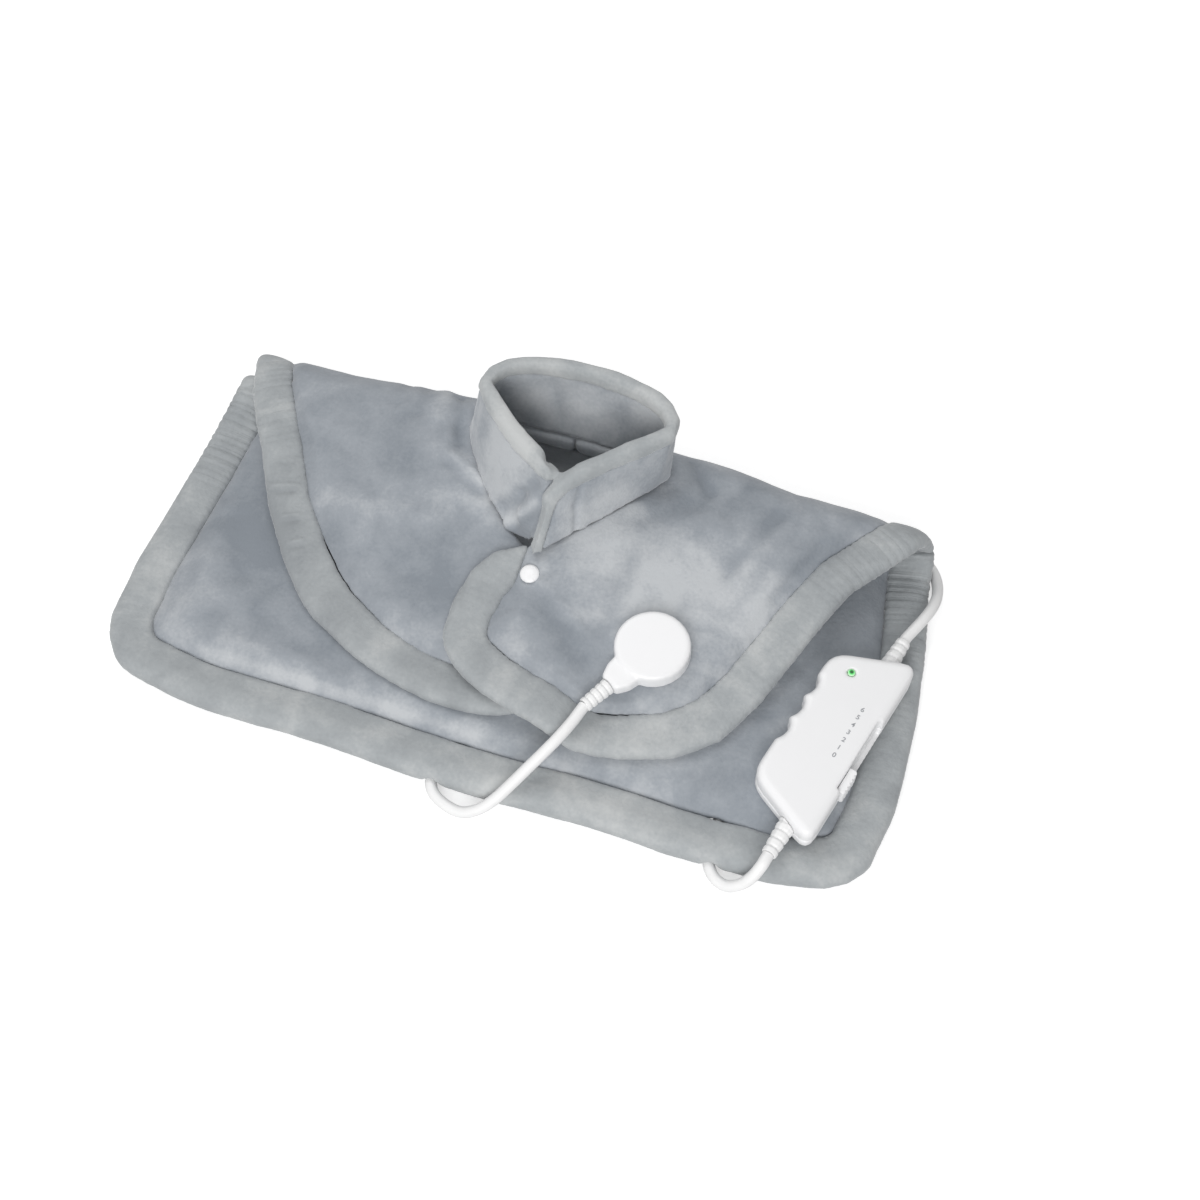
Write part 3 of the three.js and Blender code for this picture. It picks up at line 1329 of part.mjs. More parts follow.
const leftWireRows = [
  [0.68, -0.315], [0.52, -0.315], [0.355, -0.3], [0.195, -0.262], [0.03, -0.21], [-0.135, -0.157],
].map((row) => flapRow(leftFlap.edges, row, -1));
const rightWireRows = [
  [0.68, 0.367], [0.52, 0.367], [0.355, 0.367], [0.195, 0.367], [0.03, 0.375],
].map((row) => flapRow(rightFlap.edges, row, 1));
const backWireRows = [
  [-0.652, -0.734, 0.734], [-0.459, -0.749, 0.487], [-0.267, -0.749, 0.06], [-0.074, -0.749, 0.06],
  [0.104, -0.734, 0.06], [0.296, -0.652, 0.06], [0.563, -0.652, 0.06],
].map(backRow);

const backCover = cut(
  join(coverSlab, keepInside(mound(coverThickness / 2, coverThickness), foldCore(coverThickness / 2))),
  recess, leadInChannel, leadOutChannel, cutoutBlock(gap),
);
const liningMiddle = (liningDepth + padThickness) / 2;
const backLining = cut(
  join(liningSlab, keepInside(mound(liningMiddle, padThickness), foldCore(liningMiddle))),
  mound(-overrun, liningDepth), cutoutBlock(gap),
);

add('back_outer_cover', backCover, plush);
add('back_lining', backLining, plushInside);
add('back_edge_tape', cut(backTape, leadInChannel, leadOutChannel), plushLight);
add('left_front_cover', cut(leftFlap.cover, neckHole), plush);
add('left_front_lining', cut(leftFlap.lining, neckHole), plushInside);
add('left_edge_tape', cut(leftFlap.tape, snapPassage, studSeat, backSeat), plushLight);
const coverCutters = [neckHole, snapPassage, capSeat, plugSeat, ...pinPockets];
add('right_front_cover', cut(rightFlap.cover, ...coverCutters), plush);
const liningCutters = [neckHole, snapPassage, socketSeat, ...pinPockets];
add('right_front_lining', cut(rightFlap.lining, ...liningCutters), plushInside);
add('right_edge_tape', cut(rightFlap.tape, snapPassage, capSeat, socketSeat), plushLight);
add('collar', collarBand(), plush);
add('collar_edge_tape', collarTape(), plushLight);
add('heating_wire_back', wire(backWireRows, backWireStep, liningSlab, coverSlab), wireCoat);
add('heating_wire_left', wire(leftWireRows, flapWireStep, leftFlap.cover, leftFlap.lining), wireCoat);
add('heating_wire_right', wire(rightWireRows, flapWireStep, rightFlap.cover, rightFlap.lining), wireCoat);
add('thermal_cutout', cutoutBlock(0), darkPlastic);
add('snap_cap', atSnap(snapCap), plated);
add('snap_socket', atSnap(snapRing(socketFoot, socketTop)), plated);
add('snap_stud', atSnap(snapStud), plated);
add('snap_back', atSnap(snapRing(studEnd, backTop)), plated);
add('handset_bottom_shell', onPad(lowerShell), whitePlastic);
add('handset_top_shell', onPad(upperShell), whitePlastic);
add('slide_knob', onPad(slideKnob), whitePlastic);
add('lamp_lens', onPad(lens), lampGreen);
add('circuit_board', onPad(board), boardGreen);
add('slide_switch', onPad(slideSwitch), darkPlastic);
screwPlaces.forEach((place, index) => {
  add(`shell_screw_${index + 1}`, onPad(screw.clone().translate(...place, 0)), plated);
});
add('lower_cord_boot', onPad(handsetBoot(-1)), whitePlastic);
add('upper_cord_boot', onPad(handsetBoot(1)), whitePlastic);
add('lead_gland', gland, whitePlastic);
addCord('mains_cord_to_coil', cordAlong(leadIn), whiteCord);
addCord('mains_cord_coil', tube(coilPath, cordDiameter, coilSides, coilWindings.length + 1), whiteCord);
addCord('mains_cord_to_plug', cordAlong(leadOut), whiteCord);
addCord('coil_tie', coilTie(), strapGrey);
addCord('pad_lead', cordAlong(padLead), whiteCord);
addCord('plug_body', cut(onFlap(join(plugDisc(0), plugNeck)), ...pinHoles.map(onFlap)), whitePlastic);
addCord('plug_boot', onFlap(lay(
  boot(plugBootLength, plugBootDiameter, bootTipDiameter),
  [plugNeckLength + gap, 0, plugAxisHeight], [1, 0, 0],
)), whitePlastic);
pinSides.forEach((y, index) => {
  const pin = onFlap(post(0, y, -pinLength, pinRoot, pinDiameter, 12));
  addCord(`plug_pin_${['left', 'right'][index]}`, pin, plated);
});

// The whole is moved so that the footprint of everything but the cords is centred.
const footprint = new THREE.Box3();
model.children.forEach((mesh) => {
  if (!cordParts.has(mesh.name)) footprint.expandByObject(mesh);
});
const middle = footprint.getCenter(new THREE.Vector3());
model.children.forEach((mesh) => mesh.geometry.translate(-middle.x, -middle.y, -footprint.min.z));

export default model;
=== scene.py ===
"""Heated neck and shoulder cape: its plush, cords, handset and plug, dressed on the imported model."""

import heapq
import math

import bmesh
import bpy
from mathutils import Matrix, Vector, bvhtree, geometry, kdtree, noise


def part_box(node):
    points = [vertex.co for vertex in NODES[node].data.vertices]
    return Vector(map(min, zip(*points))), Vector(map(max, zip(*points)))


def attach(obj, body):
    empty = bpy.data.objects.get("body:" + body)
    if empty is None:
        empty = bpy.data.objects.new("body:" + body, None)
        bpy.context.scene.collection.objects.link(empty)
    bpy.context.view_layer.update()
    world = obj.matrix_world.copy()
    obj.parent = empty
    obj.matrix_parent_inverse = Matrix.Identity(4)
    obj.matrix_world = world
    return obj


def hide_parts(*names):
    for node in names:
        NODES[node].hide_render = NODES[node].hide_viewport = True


bl_info = {
    "name": "Heated Shoulder Cape",
    "version": (1, 0, 0),
    "blender": (4, 5, 0),
    "location": "3D View > Sidebar > Cape",
    "description": "Dresses a heated neck and shoulder cape with its plush, cords, handset and plug",
    "category": "Object",
}

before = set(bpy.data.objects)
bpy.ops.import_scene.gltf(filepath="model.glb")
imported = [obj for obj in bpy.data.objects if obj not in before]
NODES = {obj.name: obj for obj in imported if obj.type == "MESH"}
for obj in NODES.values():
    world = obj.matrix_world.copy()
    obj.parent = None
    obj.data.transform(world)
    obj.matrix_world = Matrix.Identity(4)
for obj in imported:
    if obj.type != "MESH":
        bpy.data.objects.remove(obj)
bpy.context.view_layer.update()
MM = 0.001


def linear(hex_colour):
    """The linear colour that an sRGB hex value stands for."""
    channels = [int(hex_colour[at : at + 2], 16) / 255 for at in (1, 3, 5)]
    return tuple(c / 12.92 if c <= 0.04045 else ((c + 0.055) / 1.055) ** 2.4 for c in channels)


# The sewing pattern's own origin, from a piece whose place in it is known
CUTOUT_PLACE = Vector((-163.99, 57.996)) * MM
cutout_low, cutout_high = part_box("thermal_cutout")
PATTERN_SHIFT = (cutout_low + cutout_high).to_2d() / 2 - CUTOUT_PLACE


def placed(points):
    """Points of the sewing pattern in millimetres, as points of the model."""
    return [Vector((x * MM + PATTERN_SHIFT.x, y * MM + PATTERN_SHIFT.y, z * MM)) for x, y, z in points]


# Sizes and colours that a user would change


class CapePlush(bpy.types.PropertyGroup):
    # the darkest tone: pile leaning away at random, and the painted shade of crease hollows and darker
    # strokes
    shade: bpy.props.FloatVectorProperty(
        name="Shade", description="Colour of the pile where it leans away", subtype="COLOR", size=3,
        min=0, max=1, default=linear("#858B92"),
    )
    plush: bpy.props.FloatVectorProperty(
        name="Plush", description="Colour of the pile at rest", subtype="COLOR", size=3,
        min=0, max=1, default=linear("#9A9FA5"),
    )
    # the lightest tone: pile brushed up at random, and the painted highlights and painted light of crease
    # ridges and the lighter strokes
    bright: bpy.props.FloatVectorProperty(
        name="Bright", description="Colour of the pile where it is brushed up", subtype="COLOR", size=3,
        min=0, max=1, default=linear("#BBBEC1"),
    )
    # the tape's darkest tone: its pile's random tone and the painted shade of its crease hollows; the
    # gathers are bumps and leave its colour alone
    tape_shade: bpy.props.FloatVectorProperty(
        name="Tape Shade", description="Colour in the gathers of the edge tape", subtype="COLOR",
        size=3, min=0, max=1, default=linear("#8F9396"),
    )
    tape: bpy.props.FloatVectorProperty(
        name="Tape", description="Colour of the folded edge tape", subtype="COLOR", size=3,
        min=0, max=1, default=linear("#A3A7A9"),
    )
    # the tape's lightest tone: its pile brushed up at random, and the painted highlights of its crease
    # ridges and the lighter strokes
    tape_bright: bpy.props.FloatVectorProperty(
        name="Tape Bright", description="Colour of the tape's pile where it is brushed up",
        subtype="COLOR", size=3, min=0, max=1, default=linear("#BEC0C0"),
    )
    pile: bpy.props.FloatProperty(
        name="Pile Spacing", description="Distance between tufts, drawn coarser than the real pile",
        subtype="DISTANCE", unit="LENGTH", min=0.0004, max=0.004, default=0.0024,
    )
    gather: bpy.props.FloatProperty(
        name="Gather Spacing", description="Distance between the gathers of the edge tape",
        subtype="DISTANCE", unit="LENGTH", min=0.003, max=0.03, default=0.006,
    )


class CapeCords(bpy.types.PropertyGroup):
    diameter: bpy.props.FloatProperty(
        name="Cord Diameter", description="Outside diameter of the round cord", subtype="DISTANCE",
        unit="LENGTH", min=0.004, max=0.01, default=0.0075,
    )
    jacket: bpy.props.FloatVectorProperty(
        name="Jacket", description="Colour of the cord's jacket", subtype="COLOR", size=3, min=0, max=1,
        default=linear("#EAEAEA"),
    )


class CapePlastics(bpy.types.PropertyGroup):
    shell: bpy.props.FloatVectorProperty(
        name="Shell", description="Colour of the handset and the plug", subtype="COLOR", size=3, min=0,
        max=1, default=linear("#EBEBEC"),
    )
    marks: bpy.props.FloatVectorProperty(
        name="Marks", description="Colour of the printed heat marks", subtype="COLOR", size=3, min=0,
        max=1, default=linear("#8E9093"),
    )
    lamp: bpy.props.FloatVectorProperty(
        name="Lamp", description="Colour of the lamp's lens", subtype="COLOR", size=3, min=0, max=1,
        default=linear("#2FA045"),
    )


class CapeStage(bpy.types.PropertyGroup):
    azimuth: bpy.props.FloatProperty(
        name="Azimuth", description="Camera's turn round the cape", subtype="ANGLE", unit="ROTATION",
        default=math.radians(19.2),
    )
    elevation: bpy.props.FloatProperty(
        name="Elevation", description="Camera's height above the horizon", subtype="ANGLE",
        unit="ROTATION", default=math.radians(57.1),
    )
    distance: bpy.props.FloatProperty(
        name="Distance", description="Camera's distance from the point it looks at", subtype="DISTANCE",
        unit="LENGTH", min=0.2, max=5, default=1.0197,
    )
    lens: bpy.props.FloatProperty(
        name="Lens", description="Focal length for a 36 mm wide picture", subtype="DISTANCE_CAMERA",
        min=10, max=200, default=45,
    )
    daylight: bpy.props.FloatProperty(
        name="Daylight", description="Strength of the even light from all round", min=0, max=2,
        default=0.4,
    )
    softbox: bpy.props.FloatProperty(
        name="Softbox", description="Power of the large lamp above", subtype="POWER", unit="POWER",
        min=0, max=200, default=25,
    )


# Mesh and node helpers


def new_piece(name, data, body="cape"):
    piece = bpy.data.objects.new(name, data)
    bpy.context.scene.collection.objects.link(piece)
    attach(piece, body)
    return piece


def mesh_piece(name, shape, body="cape"):
    """A piece from a bmesh, which is freed."""
    data = bpy.data.meshes.new(name)
    shape.to_mesh(data)
    shape.free()
    return new_piece(name, data, body)


def cad_copy(name, *nodes, body="cape"):
    """One piece with the joined and merged meshes of CAD nodes, which it replaces."""
    shape = bmesh.new()
    for node in nodes:
        shape.from_mesh(NODES[node].data)
    bmesh.ops.remove_doubles(shape, verts=shape.verts, dist=0.01 * MM)
    piece = mesh_piece(name, shape, body)
    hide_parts(*nodes)
    return piece


def add_modifier(piece, kind, **settings):
    modifier = piece.modifiers.new(kind.title(), kind)
    for name, value in settings.items():
        setattr(modifier, name, value)
    return modifier


def apply_modifiers(piece):
    graph = bpy.context.evaluated_depsgraph_get()
    graph.update()
    old = piece.data
    piece.data = bpy.data.meshes.new_from_object(piece.evaluated_get(graph))
    piece.modifiers.clear()
    bpy.data.meshes.remove(old)


def even_mesh(piece, voxel, smoothing, closing=0.0, proud=0.0):
    """Turns a piece into an even, softened mesh. Closing bridges a hollow between its layers."""
    if closing:
        add_modifier(piece, "REMESH", mode="VOXEL", voxel_size=0.7 * voxel)
        add_modifier(piece, "DISPLACE", strength=closing, mid_level=0)
    add_modifier(piece, "REMESH", mode="VOXEL", voxel_size=voxel)
    add_modifier(piece, "SMOOTH", factor=0.5, iterations=smoothing)
    if proud != closing:
        add_modifier(piece, "DISPLACE", strength=proud - closing, mid_level=0)
    apply_modifiers(piece)


PUFF_FRAMES = 20


def puff(piece, pressure, cap):
    """Blows a closed cloth up from inside for a few frames, and caps how far each point moves."""
    rest = [vertex.co.copy() for vertex in piece.data.vertices]
    cloth = add_modifier(piece, "CLOTH")
    cloth.settings.quality = 5
    cloth.settings.mass = 0.15
    cloth.settings.use_pressure = True
    cloth.settings.uniform_pressure_force = pressure
    cloth.settings.tension_stiffness = 15
    cloth.settings.compression_stiffness = 15
    cloth.settings.bending_stiffness = 0.5
    cloth.settings.effector_weights.gravity = 0
    cloth.collision_settings.use_collision = False
    cloth.point_cache.frame_start = 1
    cloth.point_cache.frame_end = PUFF_FRAMES
    for moment in range(1, PUFF_FRAMES + 1):
        bpy.context.scene.frame_set(moment)
    apply_modifiers(piece)
    bpy.context.scene.frame_set(1)
    for vertex, start in zip(piece.data.vertices, rest):
        move = vertex.co - start
        if move.length > cap:
            vertex.co = start + move * (cap / move.length)


def subdivide(piece):
    """Rounds a soft mesh by one level of subdivision."""
    add_modifier(piece, "SUBSURF", levels=1, render_levels=1)
    apply_modifiers(piece)


# How a long piece's course is measured: what still counts as its end, the stretches that its middle line
# is made of, and how often that line is smoothed
END_ZONE = 6 * MM
STRETCH = 8 * MM
LINE_SMOOTHING = 4


def geodesic(piece, start):
    """Each vertex's distance over the mesh from the vertices near a start point."""
    shape = bmesh.new()
    shape.from_mesh(piece.data)
    shape.verts.ensure_lookup_table()
    reach = [math.inf] * len(shape.verts)
    front = []
    nearest = min((vertex.co - start).length for vertex in shape.verts)
    for vertex in shape.verts:
        away = (vertex.co - start).length
        if away < nearest + END_ZONE:
            reach[vertex.index] = away - nearest
            front.append((reach[vertex.index], vertex.index))
    heapq.heapify(front)
    while front:
        distance, index = heapq.heappop(front)
        if distance > reach[index]:
            continue
        vertex = shape.verts[index]
        for edge in vertex.link_edges:
            other = edge.other_vert(vertex)
            longer = distance + edge.calc_length()
            if longer < reach[other.index]:
                reach[other.index] = longer
                heapq.heappush(front, (longer, other.index))
    shape.free()
    return reach


def course_of(piece, start):
    """Each vertex's distance along the middle line of a long piece, from the end near a start point."""
    stretches = {}
    for vertex, distance in zip(piece.data.vertices, geodesic(piece, start)):
        stretches.setdefault(int(distance / STRETCH), []).append(vertex.co)
    line = [sum(places, Vector()) / len(places) for _, places in sorted(stretches.items())]
    for _ in range(LINE_SMOOTHING):
        between = [(a + 2 * b + c) / 4 for a, b, c in zip(line, line[1:], line[2:])]
        line = [line[0], *between, line[-1]]
    knots, travelled = [], 0.0
    for a, b in zip(line, line[1:]):
        for share in (0, 0.25, 0.5, 0.75):
            knots.append((a.lerp(b, share), (b - a).normalized(), travelled + share * (b - a).length))
        travelled += (b - a).length
    tree = kdtree.KDTree(len(knots))
    for index, (place, _, _) in enumerate(knots):
        tree.insert(place, index)
    tree.balance()
    courses = []
    for vertex in piece.data.vertices:
        place, way, distance = knots[tree.find(vertex.co)[1]]
        courses.append(distance + (vertex.co - place).dot(way))
    return courses, travelled


def keep_values(piece, name, values):
    """Keeps a value for each vertex as an attribute, which materials read and modifiers carry along."""
    piece.data.attributes.new(name, "FLOAT", "POINT").data.foreach_set("value", values)


def push_out(piece, distance_at):
    """Moves each vertex along its normal, by a distance worked out from its number and place."""
    moves = [vertex.normal * distance_at(vertex.index, vertex.co) for vertex in piece.data.vertices]
    for vertex, move in zip(piece.data.vertices, moves):
        vertex.co += move


def ease(low, high, at):
    """A smooth rise from 0 at the low value to 1 at the high one."""
    share = min(max((at - low) / (high - low), 0), 1)
    return share * share * (3 - 2 * share)


def add_node(tree, kind, inputs=None, **settings):
    """Adds a node with its settings. An input gets a value, or the output that feeds it."""
    made = tree.nodes.new(kind)
    for name, value in settings.items():
        setattr(made, name, value)
    for name, value in (inputs or {}).items():
        if isinstance(value, bpy.types.NodeSocket):
            tree.links.new(value, made.inputs[name])
        else:
            made.inputs[name].default_value = value
    return made


def new_material(name):
    material = bpy.data.materials.new(name)
    material.use_nodes = True
    material.node_tree.nodes.clear()
    return material


def shared(name, maker, *settings):
    """The material of that name, made the first time that a piece asks for it."""
    return bpy.data.materials.get(name) or maker(name, *settings)


def finish_material(material, shader):
    add_node(material.node_tree, "ShaderNodeOutputMaterial", {"Surface": shader.outputs[0]})
    return material


def opaque(colour):
    return (*colour, 1)


def paint(piece, material):
    """Gives a piece its one material."""
    piece.data.materials.clear()
    piece.data.materials.append(material)


def rounded_copy(name, node, voxel, smoothing, material, slot, body="cape"):
    """A copy of a hard CAD node with its edges rounded, as its mould leaves them."""
    piece = cad_copy(name, node, body=body)
    even_mesh(piece, voxel * MM, smoothing)
    piece.data.shade_smooth()
    paint(piece, material)


def repaint_node(node, material):
    """Gives a CAD node that stays a better material."""
    owner = NODES[node]
    if not owner.material_slots:
        owner.data.materials.append(material)
    for place in owner.material_slots:
        place.material = material


# Materials


def plush_fabric(name, shade, colour, bright, pile, gathered=False):
    """Polyester plush, knitted, brushed and sheared: a matt short pile that leans in soft patches and
    is lighter at grazing angles. Tape of the same cloth also has the fine creases of its gathers."""
    material = new_material(name)
    tree = material.node_tree
    place = add_node(tree, "ShaderNodeTexCoord").outputs["Object"]
    # hand-sized patches where the pile leans the other way
    patches = add_node(tree, "ShaderNodeTexNoise", {
        "Vector": place, "Scale": 1 / (45 * MM), "Detail": 2.0, "Roughness": 0.5, "Distortion": 0.8,
    })
    # finger-wide strokes in the pile
    strokes = add_node(tree, "ShaderNodeTexNoise", {
        "Vector": place, "Scale": 1 / (14 * MM), "Detail": 4.0, "Roughness": 0.6,
    })
    # tufts, drawn coarser than the real pile so that they show
    tufts = add_node(tree, "ShaderNodeTexNoise", {
        "Vector": place, "Scale": 1 / pile, "Detail": 1.0, "Roughness": 0.5,
    })
    lean = add_node(tree, "ShaderNodeMix", {
        "Factor": 0.35, "A": patches.outputs[0], "B": strokes.outputs[0],
    }, data_type="FLOAT")
    whole = add_node(tree, "ShaderNodeMix", {
        "Factor": 0.15, "A": lean.outputs["Result"], "B": tufts.outputs[0],
    }, data_type="FLOAT")
    share = add_node(tree, "ShaderNodeMapRange", {
        "Value": whole.outputs["Result"], 1: 0.3, 2: 0.7, 3: 0.08, 4: 0.92,
    })
    # places where the pile is brushed up or down, and painted light and shade: painted shade in crease
    # hollows, painted highlights on crease ridges, and painted light on the lighter strokes
    nap_and_light = add_node(tree, "ShaderNodeAttribute", attribute_name="nap_and_light")
    brushed = add_node(tree, "ShaderNodeMath", {
        0: nap_and_light.outputs["Fac"], 1: 0.5, 2: share.outputs[0],
    }, operation="MULTIPLY_ADD")
    tone = add_node(tree, "ShaderNodeValToRGB", {"Fac": brushed.outputs[0]})
    low, high = tone.color_ramp.elements
    low.position, low.color = 0.0, opaque(shade)
    high.position, high.color = 1.0, opaque(bright)
    tone.color_ramp.elements.new(0.5).color = opaque(colour)
    fine = add_node(tree, "ShaderNodeBump", {
        "Height": tufts.outputs[0], "Strength": 0.35, "Distance": 0.3 * pile,
    })
    soft = add_node(tree, "ShaderNodeBump", {
        "Height": strokes.outputs[0], "Strength": 0.4, "Distance": 1.2 * MM, "Normal": fine.outputs[0],
    })
    if gathered:
        # creases across the tape, from its own course
        course = add_node(tree, "ShaderNodeAttribute", attribute_name="course")
        strength = add_node(tree, "ShaderNodeAttribute", attribute_name="gathering")
        creases = add_node(tree, "ShaderNodeTexNoise", {
            "W": course.outputs["Fac"], "Scale": 1 / (5 * MM), "Detail": 2.0, "Roughness": 0.6,
        }, noise_dimensions="1D")
        depth = add_node(tree, "ShaderNodeMath", {
            0: creases.outputs[0], 1: strength.outputs["Fac"],
        }, operation="MULTIPLY")
        soft = add_node(tree, "ShaderNodeBump", {
            "Height": depth.outputs[0], "Strength": 0.7, "Distance": 1.2 * MM, "Normal": soft.outputs[0],
        })
    return finish_material(material, add_node(tree, "ShaderNodeBsdfPrincipled", {
        "Base Color": tone.outputs["Color"], "Roughness": 0.92, "Specular IOR Level": 0.1,
        "Sheen Weight": 0.45, "Sheen Roughness": 0.4, "Normal": soft.outputs[0],
    }))


def moulded_plastic(name, colour, roughness):
    """ABS or nylon, injection moulded in a spark-eroded tool: an even satin skin with a fine grain."""
    material = new_material(name)
    tree = material.node_tree
    place = add_node(tree, "ShaderNodeTexCoord").outputs["Object"]
    # the grain, drawn coarser than the tool's so that it shows
    skin = add_node(tree, "ShaderNodeTexNoise", {"Vector": place, "Scale": 1 / (0.7 * MM), "Detail": 1.0})
    cloud = add_node(tree, "ShaderNodeTexNoise", {"Vector": place, "Scale": 1 / (20 * MM), "Detail": 2.0})
    tone = add_node(tree, "ShaderNodeMix", {
        "Factor": cloud.outputs[0], "A": opaque([0.97 * c for c in colour]), "B": opaque(colour),
    }, data_type="RGBA")
    gloss = add_node(tree, "ShaderNodeMapRange", {
        0: cloud.outputs[0], 3: roughness - 0.04, 4: roughness + 0.06,
    })
    bump = add_node(tree, "ShaderNodeBump", {
        "Height": skin.outputs[0], "Strength": 0.12, "Distance": 0.05 * MM,
    })
    return finish_material(material, add_node(tree, "ShaderNodeBsdfPrincipled", {
        "Base Color": tone.outputs["Result"], "Roughness": gloss.outputs[0], "IOR": 1.53,
        "Normal": bump.outputs[0],
    }))


def extruded_pvc(name, colour):
    """Soft PVC, extruded or moulded over: smoother than the shells, with faint handling marks."""
    material = new_material(name)
    tree = material.node_tree
    place = add_node(tree, "ShaderNodeTexCoord").outputs["Object"]
    marks = add_node(tree, "ShaderNodeTexNoise", {"Vector": place, "Scale": 1 / (8 * MM), "Detail": 4.0})
    tone = add_node(tree, "ShaderNodeMix", {
        "Factor": marks.outputs[0], "A": opaque([0.95 * c for c in colour]), "B": opaque(colour),
    }, data_type="RGBA")
    gloss = add_node(tree, "ShaderNodeMapRange", {0: marks.outputs[0], 3: 0.38, 4: 0.55})
    bump = add_node(tree, "ShaderNodeBump", {
        "Height": marks.outputs[0], "Strength": 0.1, "Distance": 0.1 * MM,
    })
    return finish_material(material, add_node(tree, "ShaderNodeBsdfPrincipled", {
        "Base Color": tone.outputs["Result"], "Roughness": gloss.outputs[0], "IOR": 1.54,
        "Normal": bump.outputs[0],
    }))


def nickel_plate(name, colour):
    """Nickel-plated steel, pressed and tumbled: bright, with soft fine scratches."""
    material = new_material(name)
    tree = material.node_tree
    place = add_node(tree, "ShaderNodeTexCoord").outputs["Object"]
    # tumbling scratches, drawn coarser than the real ones so that they show
    scratches = add_node(tree, "ShaderNodeTexNoise", {
        "Vector": place, "Scale": 1 / (0.6 * MM), "Detail": 4.0,
    })
    gloss = add_node(tree, "ShaderNodeMapRange", {0: scratches.outputs[0], 3: 0.18, 4: 0.38})
    bump = add_node(tree, "ShaderNodeBump", {
        "Height": scratches.outputs[0], "Strength": 0.08, "Distance": 0.03 * MM,
    })
    return finish_material(material, add_node(tree, "ShaderNodeBsdfPrincipled", {
        "Base Color": opaque(colour), "Metallic": 1.0, "Roughness": gloss.outputs[0],
        "Normal": bump.outputs[0],
    }))


LENS_RADIUS = 2.6 * MM


def lamp_plastic(name, colour, middle):
    """Tinted polycarbonate light guide, polished: a dark core, with the lit lamp's glow painted round it in
    the base colour as a bright ring and a pale rim that fade outwards.
    """
    material = new_material(name)
    tree = material.node_tree
    place = add_node(tree, "ShaderNodeTexCoord").outputs["Object"]
    centred = add_node(tree, "ShaderNodeMapping", {
        "Vector": place, "Location": (-middle.x, -middle.y, 0), "Scale": (1, 1, 0),
    })
    away = add_node(tree, "ShaderNodeVectorMath", {0: centred.outputs[0]}, operation="LENGTH")
    share = add_node(tree, "ShaderNodeMapRange", {"Value": away.outputs["Value"], 1: 0.0, 2: LENS_RADIUS})
    painted_glow_ramp = add_node(tree, "ShaderNodeValToRGB", {"Fac": share.outputs[0]})
    # painted glow: the ramp paints the lit lamp's light into the base colour, as a bright ring and a pale
    # rim round a dark core
    core, rim = painted_glow_ramp.color_ramp.elements
    core.position, core.color = 0.34, opaque([0.35 * c for c in colour])
    rim.position, rim.color = 1.0, opaque([0.72, 0.9, 0.7])
    glow = painted_glow_ramp.color_ramp.elements.new(0.6)
    glow.color = opaque([min(1, 0.08 + 2.2 * c) for c in colour])
    return finish_material(material, add_node(tree, "ShaderNodeBsdfPrincipled", {
        "Base Color": painted_glow_ramp.outputs["Color"], "Roughness": 0.14, "IOR": 1.58,
    }))


def printed_ink(name, colour):
    """Pad-printed ink: thin, matt and a little uneven in its cover."""
    material = new_material(name)
    tree = material.node_tree
    place = add_node(tree, "ShaderNodeTexCoord").outputs["Object"]
    cover = add_node(tree, "ShaderNodeTexNoise", {"Vector": place, "Scale": 1 / (0.7 * MM), "Detail": 2.0})
    tone = add_node(tree, "ShaderNodeMix", {
        "Factor": cover.outputs[0], "A": opaque(colour), "B": opaque([1.35 * c for c in colour]),
    }, data_type="RGBA")
    return finish_material(material, add_node(tree, "ShaderNodeBsdfPrincipled", {
        "Base Color": tone.outputs["Result"], "Roughness": 0.6,
    }))


def coated_board(name, colour):
    """Glass-fibre board under green solder resist: the weave shows through as a fine check."""
    material = new_material(name)
    tree = material.node_tree
    place = add_node(tree, "ShaderNodeTexCoord").outputs["Object"]
    # glass threads half a millimetre apart
    weave = add_node(tree, "ShaderNodeTexChecker", {
        "Vector": place, "Color1": opaque(colour), "Color2": opaque([0.8 * c for c in colour]),
        "Scale": 1 / (0.5 * MM),
    })
    return finish_material(material, add_node(tree, "ShaderNodeBsdfPrincipled", {
        "Base Color": weave.outputs["Color"], "Roughness": 0.4,
    }))


# Cords: their routes in the sewing pattern, in millimetres. The mains cord runs in, is coiled, and runs out.

LEAD_IN = [
    [202.7, -126.71, 25.8], [201.79, -130.35, 25.75], [201, -133.4, 24.8], [197.3, -140, 18.4],
    [191.3, -144, 10.6], [183, -145.2, 5.2],
    [174.5, -141.5, 3.8], [169, -133.5, 3.8], [167.3, -121, 3.8], [167.1, -104, 3.8],
    [167.1, -60, 3.8], [167.1, -8, 3.8], [167.1, 14, 4.3],
]
LEAD_OUT = [
    [68.4, 19, 11], [66.6, 6, 7.4], [62.4, -7, 4.3], [55, -22, 3.8], [44, -41, 3.8], [29, -66, 3.8],
    [13, -90, 3.8], [0, -109, 3.8], [-8.5, -123, 3.8], [-12, -135, 3.8], [-8, -144.5, 3.8],
    [2.5, -150.5, 3.8], [14.5, -152.5, 4.6], [25.5, -149, 9.6], [33.8, -142, 16],
    [41.3, -131.5, 22.5], [48.6, -120, 28.6], [55.2, -109.5, 34], [61, -98.5, 38], [65.3, -87, 39.6],
    [67.57, -78.8, 40.33], [68.57, -75.18, 40.64],
]
